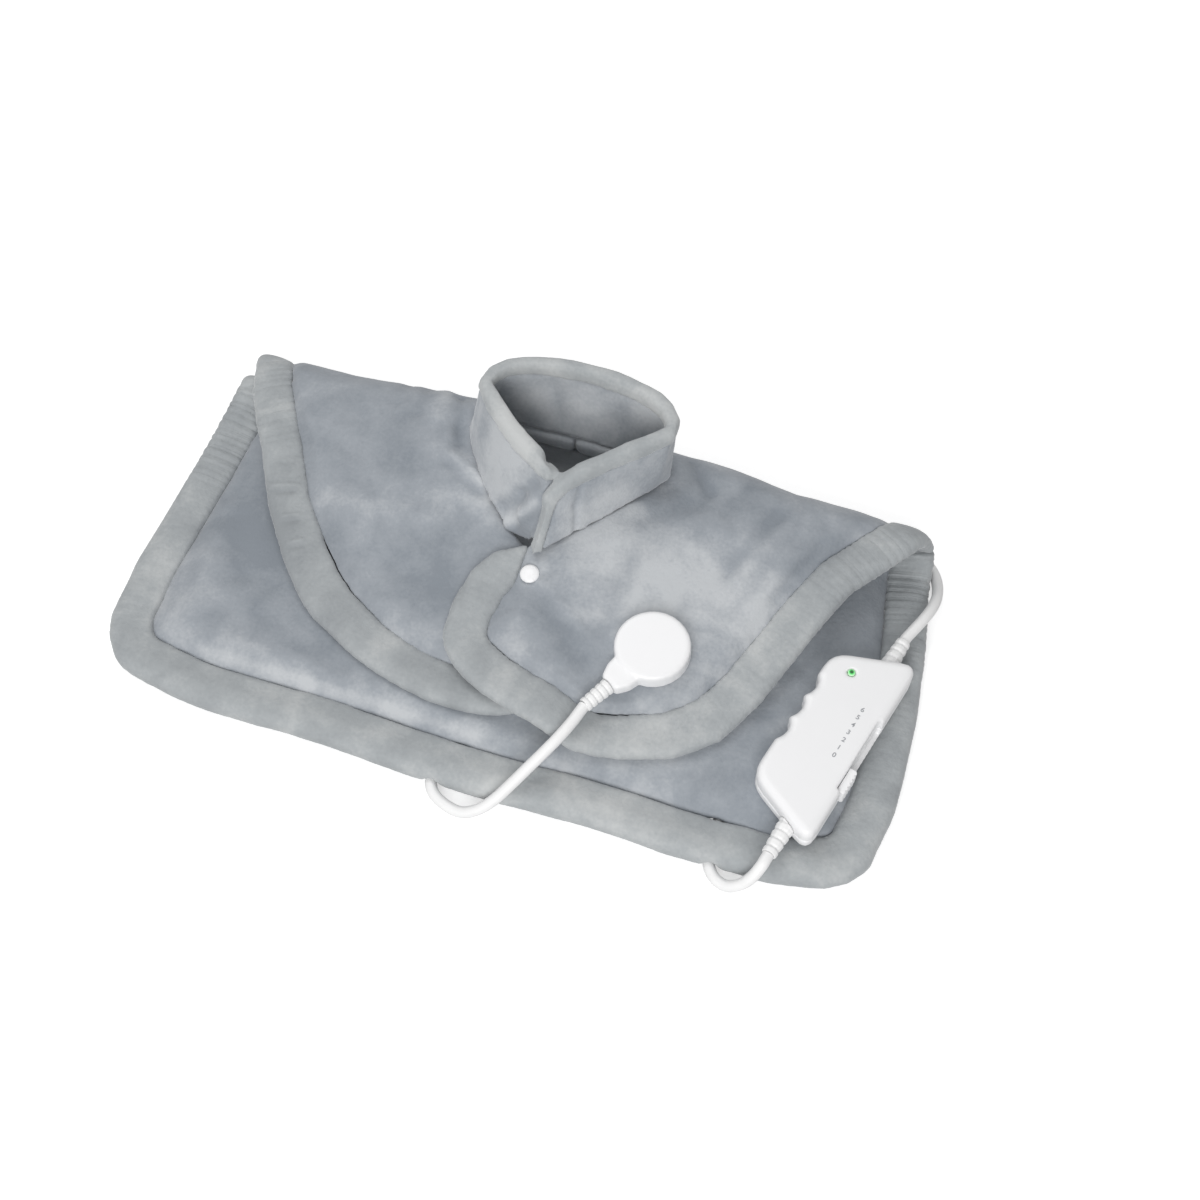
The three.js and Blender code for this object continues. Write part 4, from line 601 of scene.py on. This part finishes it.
PAD_LEAD = [
    [140.31, 130.01, 8.5], [144.06, 130.01, 8.4], [152, 131, 7.2], [166, 132, 4.6], [190, 133, 3.8],
    [215, 132.5, 3.8], [234, 131, 3.8],
    [246, 126, 4.2], [253.5, 117.5, 5.5], [257, 108, 8.5], [258.4, 99, 12.5], [258.6, 90, 17],
    [257.3, 79, 21.5], [253.6, 66, 24.8], [246.33, 48.28, 25.75], [245.42, 44.64, 25.8],
]
# The coil, in millimetres: it starts on the floor's layer and climbs to the upper one within a quarter of a
# turn on each side of its middle. Its route has a point at each step of a turn.
COIL_CENTRE = (118, 48)
COIL_MIDDLE_RADIUS = 40
COIL_PITCH = 8.1
COIL_TURNS = 4.5
COIL_FLOOR = 4.95
COIL_STEPS = 24
COIL_CLIMB = 0.25


def coil_points():
    """The wound part of the mains cord: inwards on the lower layer, up, and outwards on the upper one."""
    points = []
    half = COIL_TURNS / 2
    for step in range(int(COIL_TURNS * COIL_STEPS) + 1):
        turn = step / COIL_STEPS
        radius = COIL_MIDDLE_RADIUS + COIL_PITCH * (abs(turn - half) - half / 2)
        angle = turn * 2 * math.pi
        climb = ease(half - COIL_CLIMB, half + COIL_CLIMB, turn)
        points.append([
            COIL_CENTRE[0] + radius * math.cos(angle), COIL_CENTRE[1] + radius * math.sin(angle),
            COIL_FLOOR + COIL_PITCH * climb,
        ])
    return points


def cord_curve(name, points, diameter):
    """A smooth open curve through the points of a route, as thick as the cord."""
    data = bpy.data.curves.new(name, "CURVE")
    data.dimensions = "3D"
    data.bevel_depth = 1
    data.bevel_resolution = 5
    data.resolution_u = 5
    data.use_fill_caps = True
    spline = data.splines.new("BEZIER")
    spline.bezier_points.add(len(points) - 1)
    for at, knot in enumerate(spline.bezier_points):
        before, point, after = points[max(at - 1, 0)], points[at], points[min(at + 1, len(points) - 1)]
        course = (after - before).normalized()
        knot.co = point
        # the radius is the thickness, because the piece's box grows by it
        knot.radius = diameter / 2
        knot.handle_left_type = knot.handle_right_type = "FREE"
        knot.handle_left = point - course * ((point - before).length / 3)
        knot.handle_right = point + course * ((after - point).length / 3)
    return new_piece(name, data)


# The stage: the place in the sewing pattern that the camera looks at, in millimetres, the width of its
# sensor in millimetres, and the sizes of a softbox and of half the floor in metres
CAMERA_TARGET = (43.5, 26.4, 0)
SENSOR_WIDTH = 36
SOFTBOX_SIZE = 1.2
HALF_FLOOR = 6


class CAPE_OT_stage(bpy.types.Operator):
    """Adds the camera, the floor and the studio light"""

    bl_idname = "cape.stage"
    bl_label = "Stage"

    def execute(self, context):
        stage = context.scene.cape_stage
        target = placed([CAMERA_TARGET])[0]
        turn, rise = stage.azimuth, stage.elevation
        back = Vector((math.sin(turn) * math.cos(rise), -math.cos(turn) * math.cos(rise), math.sin(rise)))
        camera = bpy.data.objects.new("camera", bpy.data.cameras.new("camera"))
        camera.data.lens = stage.lens
        camera.data.sensor_width = SENSOR_WIDTH
        camera.location = target + back * stage.distance
        camera.rotation_euler = back.to_track_quat("Z", "Y").to_euler()
        context.scene.collection.objects.link(camera)
        context.scene.camera = camera

        for name, power, place in (
            ("front softbox", stage.softbox, (0.3, -1.6, 1.1)),
            ("top softbox", 0.4 * stage.softbox, (-0.5, 0.5, 1.5)),
        ):
            lamp = bpy.data.objects.new(name, bpy.data.lights.new(name, "AREA"))
            lamp.data.shape = "SQUARE"
            lamp.data.size = SOFTBOX_SIZE
            lamp.data.energy = power
            lamp.location = place
            lamp.rotation_euler = Vector(place).to_track_quat("Z", "Y").to_euler()
            context.scene.collection.objects.link(lamp)

        world = context.scene.world or bpy.data.worlds.new("studio")
        context.scene.world = world
        world.use_nodes = True
        tree = world.node_tree
        tree.nodes.clear()
        path = add_node(tree, "ShaderNodeLightPath").outputs
        seen = add_node(tree, "ShaderNodeMath", {
            0: path["Is Camera Ray"], 1: path["Is Glossy Ray"],
        }, operation="MAXIMUM")
        seen = add_node(tree, "ShaderNodeMath", {
            0: seen.outputs[0], 1: path["Is Transmission Ray"],
        }, operation="MAXIMUM")
        strength = add_node(tree, "ShaderNodeMapRange", {0: seen.outputs[0], 3: stage.daylight, 4: 1.0})
        light = add_node(tree, "ShaderNodeBackground", {
            "Color": (1, 1, 1, 1), "Strength": strength.outputs[0],
        })
        add_node(tree, "ShaderNodeOutputWorld", {"Surface": light.outputs[0]})

        shape = bmesh.new()
        bmesh.ops.create_grid(shape, x_segments=1, y_segments=1, size=HALF_FLOOR)
        data = bpy.data.meshes.new("floor")
        shape.to_mesh(data)
        shape.free()
        floor = bpy.data.objects.new("floor", data)
        context.scene.collection.objects.link(floor)
        # a pale floor that the camera sees as white where no shadow falls
        paper = new_material("white studio paper")
        tree = paper.node_tree
        path = add_node(tree, "ShaderNodeLightPath").outputs
        matt = add_node(tree, "ShaderNodeBsdfDiffuse", {"Color": (0.75, 0.75, 0.75, 1)})
        lift = add_node(tree, "ShaderNodeMath", {
            0: path["Is Camera Ray"], 1: 0.5,
        }, operation="MULTIPLY")
        glow = add_node(tree, "ShaderNodeEmission", {"Strength": lift.outputs[0]})
        data.materials.append(finish_material(paper, add_node(tree, "ShaderNodeAddShader", {
            0: matt.outputs[0], 1: glow.outputs[0],
        })))
        context.scene.view_settings.view_transform = "Standard"
        return {"FINISHED"}


class CAPE_OT_cords(bpy.types.Operator):
    """Lays the mains cord with its hidden coil, and the lead from the handset into the cape"""

    bl_idname = "cape.cords"
    bl_label = "Cords"

    def execute(self, context):
        cords = context.scene.cape_cords
        jacket = shared("extruded PVC jacket", extruded_pvc, cords.jacket)
        for name, points, nodes, far_end, lay, pieces in (
            (
                "mains_cord", LEAD_IN + coil_points() + LEAD_OUT,
                ("mains_cord_to_coil", "mains_cord_coil", "mains_cord_to_plug"), "plug", "coiled",
                ("mains_plug", "plug_strain_relief", "plug_pin_left", "plug_pin_right", "coil_tie"),
            ),
            ("pad_cord", PAD_LEAD[::-1], ("pad_lead",), "object", "loose", ()),
        ):
            route = placed(points)
            piece = cord_curve(name, route, cords.diameter)
            piece.data.materials.append(jacket)
            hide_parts(*nodes)
        return {"FINISHED"}


# The padded panels: the CAD nodes that each stands for, the tape it is sewn to, and in millimetres the
# spacing of its mesh, how far its hollow is bridged, and how far puffing may move a point
PANELS = (
    ("back_panel", ("back_outer_cover", "back_lining"), "back_tape", 4.0, 1.6, 2.5),
    ("left_flap", ("left_front_cover", "left_front_lining"), "left_tape", 3.4, 1.6, 2.0),
    ("right_flap", ("right_front_cover", "right_front_lining"), "right_tape", 3.4, 1.6, 2.0),
)
# The edge tapes: their nodes, a point beyond the fold end that their course is measured from, in
# millimetres, and how strongly they are gathered at the fold
TAPES = (
    ("back_tape", "back_edge_tape", (-262, 134, 200), 1.0),
    ("left_tape", "left_edge_tape", (-256, 134, -150), 0.45),
    ("right_tape", "right_edge_tape", (250, 134, -150), 0.45),
)
# The gathers: their strength away from the fold, how far along the tape the fold's own strength holds and
# where it has faded, and their depth
GATHER_BASE = 0.16
FOLD_NEAR = 40 * MM
FOLD_FAR = 120 * MM
GATHER_DEPTH = 1.5 * MM

# Creases of the wadding, in the sewing pattern in millimetres: a line's two ends, its height above the
# cloth (below it when negative), and its half width
CREASES = (
    ((13, -2, 48), (47, -24, 45), 1.5, 3.5), ((17, -15, 47), (54, -42, 41), -2.2, 9),
    ((145, 93, 53), (125, 43, 49), -1.8, 6), ((155, 99, 53), (133, 41, 49), 1.4, 5),
    ((78, 118, 52), (97, 96, 55), -2.4, 5), ((62, 60, 57), (93, 86, 55), -1.4, 7),
    ((176, 83, 51), (160, 36, 46), -1.2, 5), ((120, 110, 53), (112, 84, 53), -1.2, 6),
    ((-78, 71, 54), (-50, 58, 52), 1.8, 3), ((-79, 64, 53), (-50, 50, 50), -1.6, 4),
    ((-92, 122, 52), (-78, 82, 55), -2.8, 5), ((-104, 124, 50), (-99, 96, 56), 1.4, 5),
    ((-117, 124, 48), (-113, 96, 55), -1.8, 4.5), ((-133, 124, 46), (-131, 100, 53), -1.5, 4),
    ((-150, 18, 38), (-75, 24, 44), 1.2, 11), ((-137, -16, 34), (-64, -18, 35), -1.4, 14),
    ((-169, -92, 15), (10, -98, 15), 1.2, 7), ((-208, -3, 17), (-188, -44, 17), -1.4, 9),
    ((-212, -40, 17), (-203, -74, 17), 1.2, 8),
)
TAPE_CREASES = (
    ((-196, 16, 39), (-176, 23, 38), 1.2, 1.6), ((-195, 12, 39), (-175, 19, 38), -1.2, 2.2),
    ((-184, -7, 36), (-165, 3, 35), 1.3, 1.6), ((-183, -11, 36), (-164, -1, 35), -1.2, 2.2),
    ((-172, -24, 34), (-154, -14, 33), 1.1, 1.6), ((-171, -28, 34), (-153, -18, 33), -1.0, 2.2),
)
COLLAR_CREASES = (
    ((-31, 40, 55), (-17, 41, 74), -2.6, 5), ((-17, 41, 74), (-6, 42, 90), -2.6, 5),
    ((-25, 34, 50), (-14, 34, 65), 2.2, 4), ((-14, 34, 65), (-5, 34, 78), 2.2, 4),
    ((-19, 29, 48), (-3, 26, 73), -2.8, 4), ((-11, 22, 50), (1, 20, 68), 1.8, 3.5),
    ((24, 46, 95), (22, 40, 80), -1.3, 2.5), ((22, 40, 80), (25, 33, 60), -1.3, 2.5),
    ((-15, 116, 70), (-22, 117, 96), -1.2, 6), ((20, 116, 68), (34, 113, 96), -1.2, 7),
)
# How the collar's ends lie: a line on them, the way it is drawn in millimetres, and how far round. The
# left end is tucked behind the right one, which is drawn in to a narrow rounded end.
COLLAR_PULLS = (
    ((8, 57, 106), (8, 57, 98), (-7, -1, -10), 9), ((-19, 32, 56), (-15, 30, 55), (7, -2, -8), 9),
    ((-8, 15, 57), (-5, 27, 80), (7, 3, 0), 9),
)
# Where the pile's tone is painted lighter or darker, partly as pile brushed up or down and partly as painted
# light and shade: painted highlights where light falls on the right flap, the collar's front and its inner
# rear wall, painted light on the lining inside the collar where shade falls, and a painted highlight along
# the back seam. Two ends, how strongly, and how far round
NAP_AND_PAINTED_LIGHT = (
    ((50, 20, 52), (105, 40, 50), 0.9, 38), ((100, -10, 42), (140, 20, 43), 0.5, 26),
    ((30, -20, 46), (55, -50, 40), -0.5, 20), ((90, 95, 55), (170, 85, 52), -0.5, 28),
    ((-60, -12, 34), (-30, -20, 36), -0.6, 26), ((-140, 60, 48), (-90, 60, 52), -0.1, 40),
    ((-60, -84, 16), (10, -92, 16), -0.4, 9), ((-150, -30, 29), (-110, -60, 28), 0.3, 18),
    ((-188, -104, 14), (6, -105, 14), 0.8, 5), ((-200, -5, 17), (-110, -70, 17), -0.6, 30),
    ((-190, -80, 16), (-210, -62, 16), -0.35, 16), ((96, -87, 27), (140, -60, 29), 0.35, 22),
    ((-25, -13, 46), (-22, -42, 41), 0.5, 16), ((150, -60, 16), (200, -85, 16), -0.5, 30),
    ((32, -129, 15), (120, -128, 15), 0.3, 22), ((-243, -84, 15), (-250, -20, 15), 0.2, 24),
    ((-215, 30, 17), (-190, -30, 17), -0.5, 34), ((-130, 70, 47), (-75, 30, 45), -0.3, 45),
    ((-185, 40, 40), (-150, -25, 31), -0.35, 26), ((-40, 55, 65), (-36, 64, 100), 1.0, 26),
    ((-25, 117, 85), (46, 114, 95), 0.8, 30), ((-40, 112, 22), (40, 108, 22), 1.2, 24),
    ((-45, 70, 25), (45, 70, 25), 1.0, 30), ((50, 72, 80), (30, 50, 85), 0.2, 25),
    ((-12, 50, 101), (-36, 66, 105), 0.5, 14),
)


def along(place, ends):
    """How far a place is from the line between two ends of the sewing pattern."""
    nearest, share = geometry.intersect_point_line(place, *ends)
    return (place - ends[0].lerp(ends[1], min(max(share, 0), 1))).length


def fade(away, limit=3):
    """The share that is left of a crease, pull or stroke, at a distance counted in its own reach."""
    return math.exp(-away * away) if away < limit else 0.0


def crease_height(place, creases):
    """The height that the creases add at a place."""
    return sum(rise * fade(along(place, ends) / half_width) for ends, rise, half_width in creases)


def in_model(lines):
    """Lines of the sewing pattern in millimetres, as lines of the model in metres."""
    return [(placed([start, end]), amount, reach) for start, end, amount, reach in lines]


def creases_in_model(lines):
    """Creases of the sewing pattern, with their heights and half widths in metres too."""
    return [(ends, rise * MM, half_width * MM) for ends, rise, half_width in in_model(lines)]


def brushed_plush(colours):
    """The cloth of the panels and the collar."""
    return shared(
        "brushed plush", plush_fabric, colours.shade, colours.plush, colours.bright, colours.pile,
    )


def tape_plush(name, colours, gathered):
    """The cloth of an edge tape."""
    return shared(
        name, plush_fabric, colours.tape_shade, colours.tape, colours.tape_bright, colours.pile, gathered,
    )


# How much painted shade a crease of one millimetre gives the pile's tone in its hollow, and how much painted
# highlight on its ridge
CREASE_PAINTED_SHADE = 0.3


def comb(piece, creases):
    """Keeps at each vertex how much lighter or darker the pile's tone is painted: the pile brushed up or
    down, and painted light and shade, with painted shade in a crease's hollow and a painted highlight on its
    ridge.
    """
    strokes = in_model(NAP_AND_PAINTED_LIGHT)
    nap_and_light = []
    for vertex in piece.data.vertices:
        lean_and_light = CREASE_PAINTED_SHADE * crease_height(vertex.co, creases) / MM
        for ends, strength, reach in strokes:
            lean_and_light += strength * fade(along(vertex.co, ends) / (reach * MM), 2.5)
        nap_and_light.append(lean_and_light)
    keep_values(piece, "nap_and_light", nap_and_light)


def sew(piece, tape, reach, bite):
    """Draws the edge of a panel onto its tape and a little into it, as the stitches do."""
    shape = bmesh.new()
    shape.from_mesh(tape.data)
    tree = bvhtree.BVHTree.FromBMesh(shape)
    for vertex in piece.data.vertices:
        nearest, _, _, away = tree.find_nearest(vertex.co, reach)
        if nearest is None or away < 1e-6:
            continue
        pull = 1 - ease(0.4 * reach, reach, away)
        vertex.co += (nearest - vertex.co) * (pull * (1 + bite / away))
    shape.free()


END_SMOOTHING = 14


def soften_ends(piece, lines):
    """Rounds the cut ends of a tape near the lines that it is drawn along."""
    shape = bmesh.new()
    shape.from_mesh(piece.data)
    near = [
        vertex for vertex in shape.verts if any(along(vertex.co, ends) < reach for ends, reach in lines)
    ]
    for _ in range(END_SMOOTHING):
        bmesh.ops.smooth_vert(
            shape, verts=near, factor=0.5, use_axis_x=True, use_axis_y=True, use_axis_z=True,
        )
    shape.to_mesh(piece.data)
    shape.free()


def settle(piece):
    """Keeps a soft piece just above the floor, flat where it rests."""
    for vertex in piece.data.vertices:
        vertex.co.z = max(vertex.co.z, 0.2 * MM)


def finish_soft(piece, fabric, creases=()):
    """Settles a soft piece that has its shape, keeps its nap with painted light and shade, smooth-shades it
    and paints it.
    """
    settle(piece)
    comb(piece, creases)
    piece.data.shade_smooth()
    paint(piece, fabric)


def rumple(place, size, depth):
    """A soft unevenness, as wadding gives it."""
    return depth * noise.noise(place / size)


class CAPE_OT_tapes(bpy.types.Operator):
    """Rounds the folded edge tapes and draws their gathers"""

    bl_idname = "cape.tapes"
    bl_label = "Edge Tapes"

    def execute(self, context):
        colours = context.scene.cape_plush
        fabric = tape_plush("plush edge tape", colours, True)
        creases = creases_in_model(TAPE_CREASES)
        for name, node, start, fold_strength in TAPES:
            piece = cad_copy(name, node)
            even_mesh(piece, 2.4 * MM, smoothing=5, proud=0.9 * MM)
            courses, whole = course_of(piece, placed([start])[0])
            ends = (0, whole) if name == "back_tape" else (0,)
            # tight gathers where the tape turns over the shoulder fold, and slight ones elsewhere
            gathering = [
                GATHER_BASE
                + fold_strength * max(1 - ease(FOLD_NEAR, FOLD_FAR, abs(course - end)) for end in ends)
                for course in courses
            ]
            keep_values(piece, "course", courses)
            keep_values(piece, "gathering", gathering)
            subdivide(piece)
            course_at = piece.data.attributes["course"].data
            strength_at = piece.data.attributes["gathering"].data

            def gathers(index, place):
                at = course_at[index].value / colours.gather
                wander = 0.7 * noise.noise(Vector((0.35 * at, 0, 0)))
                # broad ridges with narrow creases between them
                crest = abs(math.sin(math.pi * (at + wander))) ** 0.6 - 0.6
                uneven = 0.6 + 0.7 * noise.noise(Vector((0.9 * at, 7, 0)))
                soft = rumple(place, 20 * MM, 0.4 * MM) + crease_height(place, creases)
                return GATHER_DEPTH * strength_at[index].value * crest * uneven + soft

            push_out(piece, gathers)
            finish_soft(piece, fabric, creases=creases)
        return {"FINISHED"}


class CAPE_OT_panels(bpy.types.Operator):
    """Pads and softens the back panel and both front flaps, and sews them to their tapes"""

    bl_idname = "cape.panels"
    bl_label = "Padded Panels"

    def execute(self, context):
        fabric = brushed_plush(context.scene.cape_plush)
        creases = creases_in_model(CREASES)
        for name, nodes, tape, voxel, closing, cap in PANELS:
            piece = cad_copy(name, *nodes)
            even_mesh(piece, voxel * MM, smoothing=4, closing=closing * MM, proud=0.8 * MM)
            puff(piece, pressure=4, cap=cap * MM)
            sew(piece, bpy.data.objects[tape], reach=6.5 * MM, bite=0.5 * MM)
            subdivide(piece)

            def swell(_, place):
                soft = rumple(place, 45 * MM, 1.3 * MM) + rumple(place, 16 * MM, 0.4 * MM)
                return soft + crease_height(place, creases)

            push_out(piece, swell)
            finish_soft(piece, fabric, creases=creases)
        return {"FINISHED"}


class CAPE_OT_collar(bpy.types.Operator):
    """Softens the stand-up collar and its bound edge"""

    bl_idname = "cape.collar"
    bl_label = "Collar"

    def execute(self, context):
        colours = context.scene.cape_plush
        cloth = brushed_plush(colours)
        edging = tape_plush("collar edge tape", colours, False)
        creases = creases_in_model(COLLAR_CREASES)
        pulls = [(ends, Vector(way) * MM, reach * MM) for ends, way, reach in in_model(COLLAR_PULLS)]
        for name, node, voxel, fabric, slot, folds in (
            ("collar_tape", "collar_edge_tape", 1.1, edging, "plush_edge", ()),
            ("collar_band", "collar", 1.5, cloth, "plush", creases),
        ):
            piece = cad_copy(name, node)
            even_mesh(piece, voxel * MM, smoothing=8, proud=0.3 * MM)
            push_out(piece, lambda _, place: (
                rumple(place, 22 * MM, 0.8 * MM) + crease_height(place, folds)
            ))
            for vertex in piece.data.vertices:
                vertex.co += sum(
                    (way * fade(along(vertex.co, ends) / reach) for ends, way, reach in pulls), Vector(),
                )
            if name == "collar_tape":
                soften_ends(piece, [(ends, reach) for ends, _, reach in pulls])
            finish_soft(piece, fabric, creases=folds)
        return {"FINISHED"}


# The handset's own frame: its middle in the sewing pattern, its turn and its thickness. In that frame,
# the places of the first and last heat mark and of the lamp. All lengths are in millimetres.
HANDSET_PLACE = (216.3, -39.1, 16.3)
HANDSET_TURN = math.radians(-14)
HANDSET_THICKNESS = 20.5
MARKS_FROM = (10.6, -14.2)
MARKS_TO = (10.6, 23)
LAMP_PLACE = (-7.85, 43.2)
MARK_COUNT = 7
MARK_HEIGHT = 4.6


def handset_frame():
    """The handset's frame in the model, in metres."""
    return Matrix.Translation(placed([HANDSET_PLACE])[0]) @ Matrix.Rotation(HANDSET_TURN, 4, "Z")


def print_marks(material):
    """The printed heat marks: the numbers from 0 up, as thin prints on the handset's face."""
    shape = bmesh.new()
    for number in range(MARK_COUNT):
        writing = bpy.data.curves.new("mark", "FONT")
        writing.body = str(number)
        writing.size = MARK_HEIGHT * MM
        writing.align_x, writing.align_y = "CENTER", "CENTER"
        writing.offset = 0.12 * MM
        writing.extrude = 0.03 * MM
        writer = bpy.data.objects.new("mark", writing)
        bpy.context.scene.collection.objects.link(writer)
        graph = bpy.context.evaluated_depsgraph_get()
        flat = bpy.data.meshes.new_from_object(writer.evaluated_get(graph))
        bpy.data.objects.remove(writer)
        at = Vector(MARKS_FROM).lerp(Vector(MARKS_TO), number / (MARK_COUNT - 1)) * MM
        flat.transform(handset_frame() @ Matrix.Translation((*at, HANDSET_THICKNESS * MM)))
        shape.from_mesh(flat)
        bpy.data.meshes.remove(flat)
        bpy.data.curves.remove(writing)
    piece = mesh_piece("heat_marks", shape)
    paint(piece, material)


class CAPE_OT_handset(bpy.types.Operator):
    """Rounds the handset's shells and knob, and prints the heat marks"""

    bl_idname = "cape.handset"
    bl_label = "Handset"

    def execute(self, context):
        colours = context.scene.cape_plastics
        shell = shared("moulded ABS", moulded_plastic, colours.shell, 0.36)
        for name, node, voxel, smoothing, body, slot in (
            ("handset_top", "handset_top_shell", 0.9, 5, "cape", "white_plastic"),
            ("handset_bottom", "handset_bottom_shell", 0.9, 5, "cape", "white_plastic"),
            ("heat_knob", "slide_knob", 0.25, 2, "slider", "knob_plastic"),
        ):
            rounded_copy(name, node, voxel, smoothing, shell, slot, body)
        print_marks(shared("printed ink", printed_ink, colours.marks))
        middle = handset_frame() @ Vector((LAMP_PLACE[0] * MM, LAMP_PLACE[1] * MM, 0))
        repaint_node("lamp_lens", shared("polished lamp lens", lamp_plastic, colours.lamp, middle))
        return {"FINISHED"}


class CAPE_OT_plug(bpy.types.Operator):
    """Rounds the plug and its snap, and the moulded boots of the cords"""

    bl_idname = "cape.plug"
    bl_label = "Plug, Snap and Boots"

    def execute(self, context):
        shell = shared("moulded ABS", moulded_plastic, context.scene.cape_plastics.shell, 0.36)
        jacket = shared("extruded PVC jacket", extruded_pvc, context.scene.cape_cords.jacket)
        for piece in (
            ("mains_plug", "plug_body", 0.8, 5, shell, "white_plastic"),
            ("snap_button", "snap_cap", 0.4, 4, shell, "white_plastic"),
            ("plug_strain_relief", "plug_boot", 0.32, 2, jacket, "cord_jacket"),
            ("lower_strain_relief", "lower_cord_boot", 0.32, 2, jacket, "cord_jacket"),
            ("upper_strain_relief", "upper_cord_boot", 0.32, 2, jacket, "cord_jacket"),
            ("lead_outlet", "lead_gland", 0.8, 4, jacket, "cord_jacket"),
        ):
            rounded_copy(*piece)
        return {"FINISHED"}


class CAPE_OT_inside(bpy.types.Operator):
    """Finishes the small pieces that stay as they are: metal, board, wires and tie"""

    bl_idname = "cape.inside"
    bl_label = "Small Pieces"

    def execute(self, context):
        nickel = nickel_plate("nickel-plated steel", linear("#C9CCD0"))
        for node in (
            "snap_socket", "snap_stud", "snap_back", "shell_screw_1", "shell_screw_2", "shell_screw_3",
            "shell_screw_4", "plug_pin_left", "plug_pin_right",
        ):
            repaint_node(node, nickel)
        repaint_node("circuit_board", coated_board("coated circuit board", linear("#2F6B4A")))
        dark = moulded_plastic("dark moulded nylon", linear("#2A2C30"), 0.5)
        for node in ("slide_switch", "thermal_cutout"):
            repaint_node(node, dark)
        coat = extruded_pvc("wire insulation", linear("#E8E0D0"))
        for node in ("heating_wire_back", "heating_wire_left", "heating_wire_right"):
            repaint_node(node, coat)
        repaint_node("coil_tie", extruded_pvc("silicone tie", linear("#55585C")))
        return {"FINISHED"}


OPERATORS = (
    CAPE_OT_stage, CAPE_OT_plug, CAPE_OT_cords, CAPE_OT_handset, CAPE_OT_tapes, CAPE_OT_panels,
    CAPE_OT_collar, CAPE_OT_inside,
)
SETTINGS = (
    ("cape_plush", CapePlush), ("cape_cords", CapeCords), ("cape_plastics", CapePlastics),
    ("cape_stage", CapeStage),
)


class CAPE_PT_sidebar(bpy.types.Panel):
    bl_label = "Heated Cape"
    bl_idname = "CAPE_PT_sidebar"
    bl_space_type = "VIEW_3D"
    bl_region_type = "UI"
    bl_category = "Cape"

    def draw(self, context):
        for name, group in SETTINGS:
            box = self.layout.box()
            for prop in group.__annotations__:
                box.prop(getattr(context.scene, name), prop)
        for operator in OPERATORS:
            self.layout.operator(operator.bl_idname)


def register():
    for group_name, group in SETTINGS:
        bpy.utils.register_class(group)
        setattr(bpy.types.Scene, group_name, bpy.props.PointerProperty(type=group))
    for kind in (*OPERATORS, CAPE_PT_sidebar):
        bpy.utils.register_class(kind)


def unregister():
    for kind in (CAPE_PT_sidebar, *reversed(OPERATORS)):
        bpy.utils.unregister_class(kind)
    for group_name, group in reversed(SETTINGS):
        delattr(bpy.types.Scene, group_name)
        bpy.utils.unregister_class(group)


def main():
    register()
    for operator in OPERATORS:
        family, action = operator.bl_idname.split(".")
        getattr(getattr(bpy.ops, family), action)()
    bpy.context.view_layer.update()


if __name__ == "__main__":
    main()
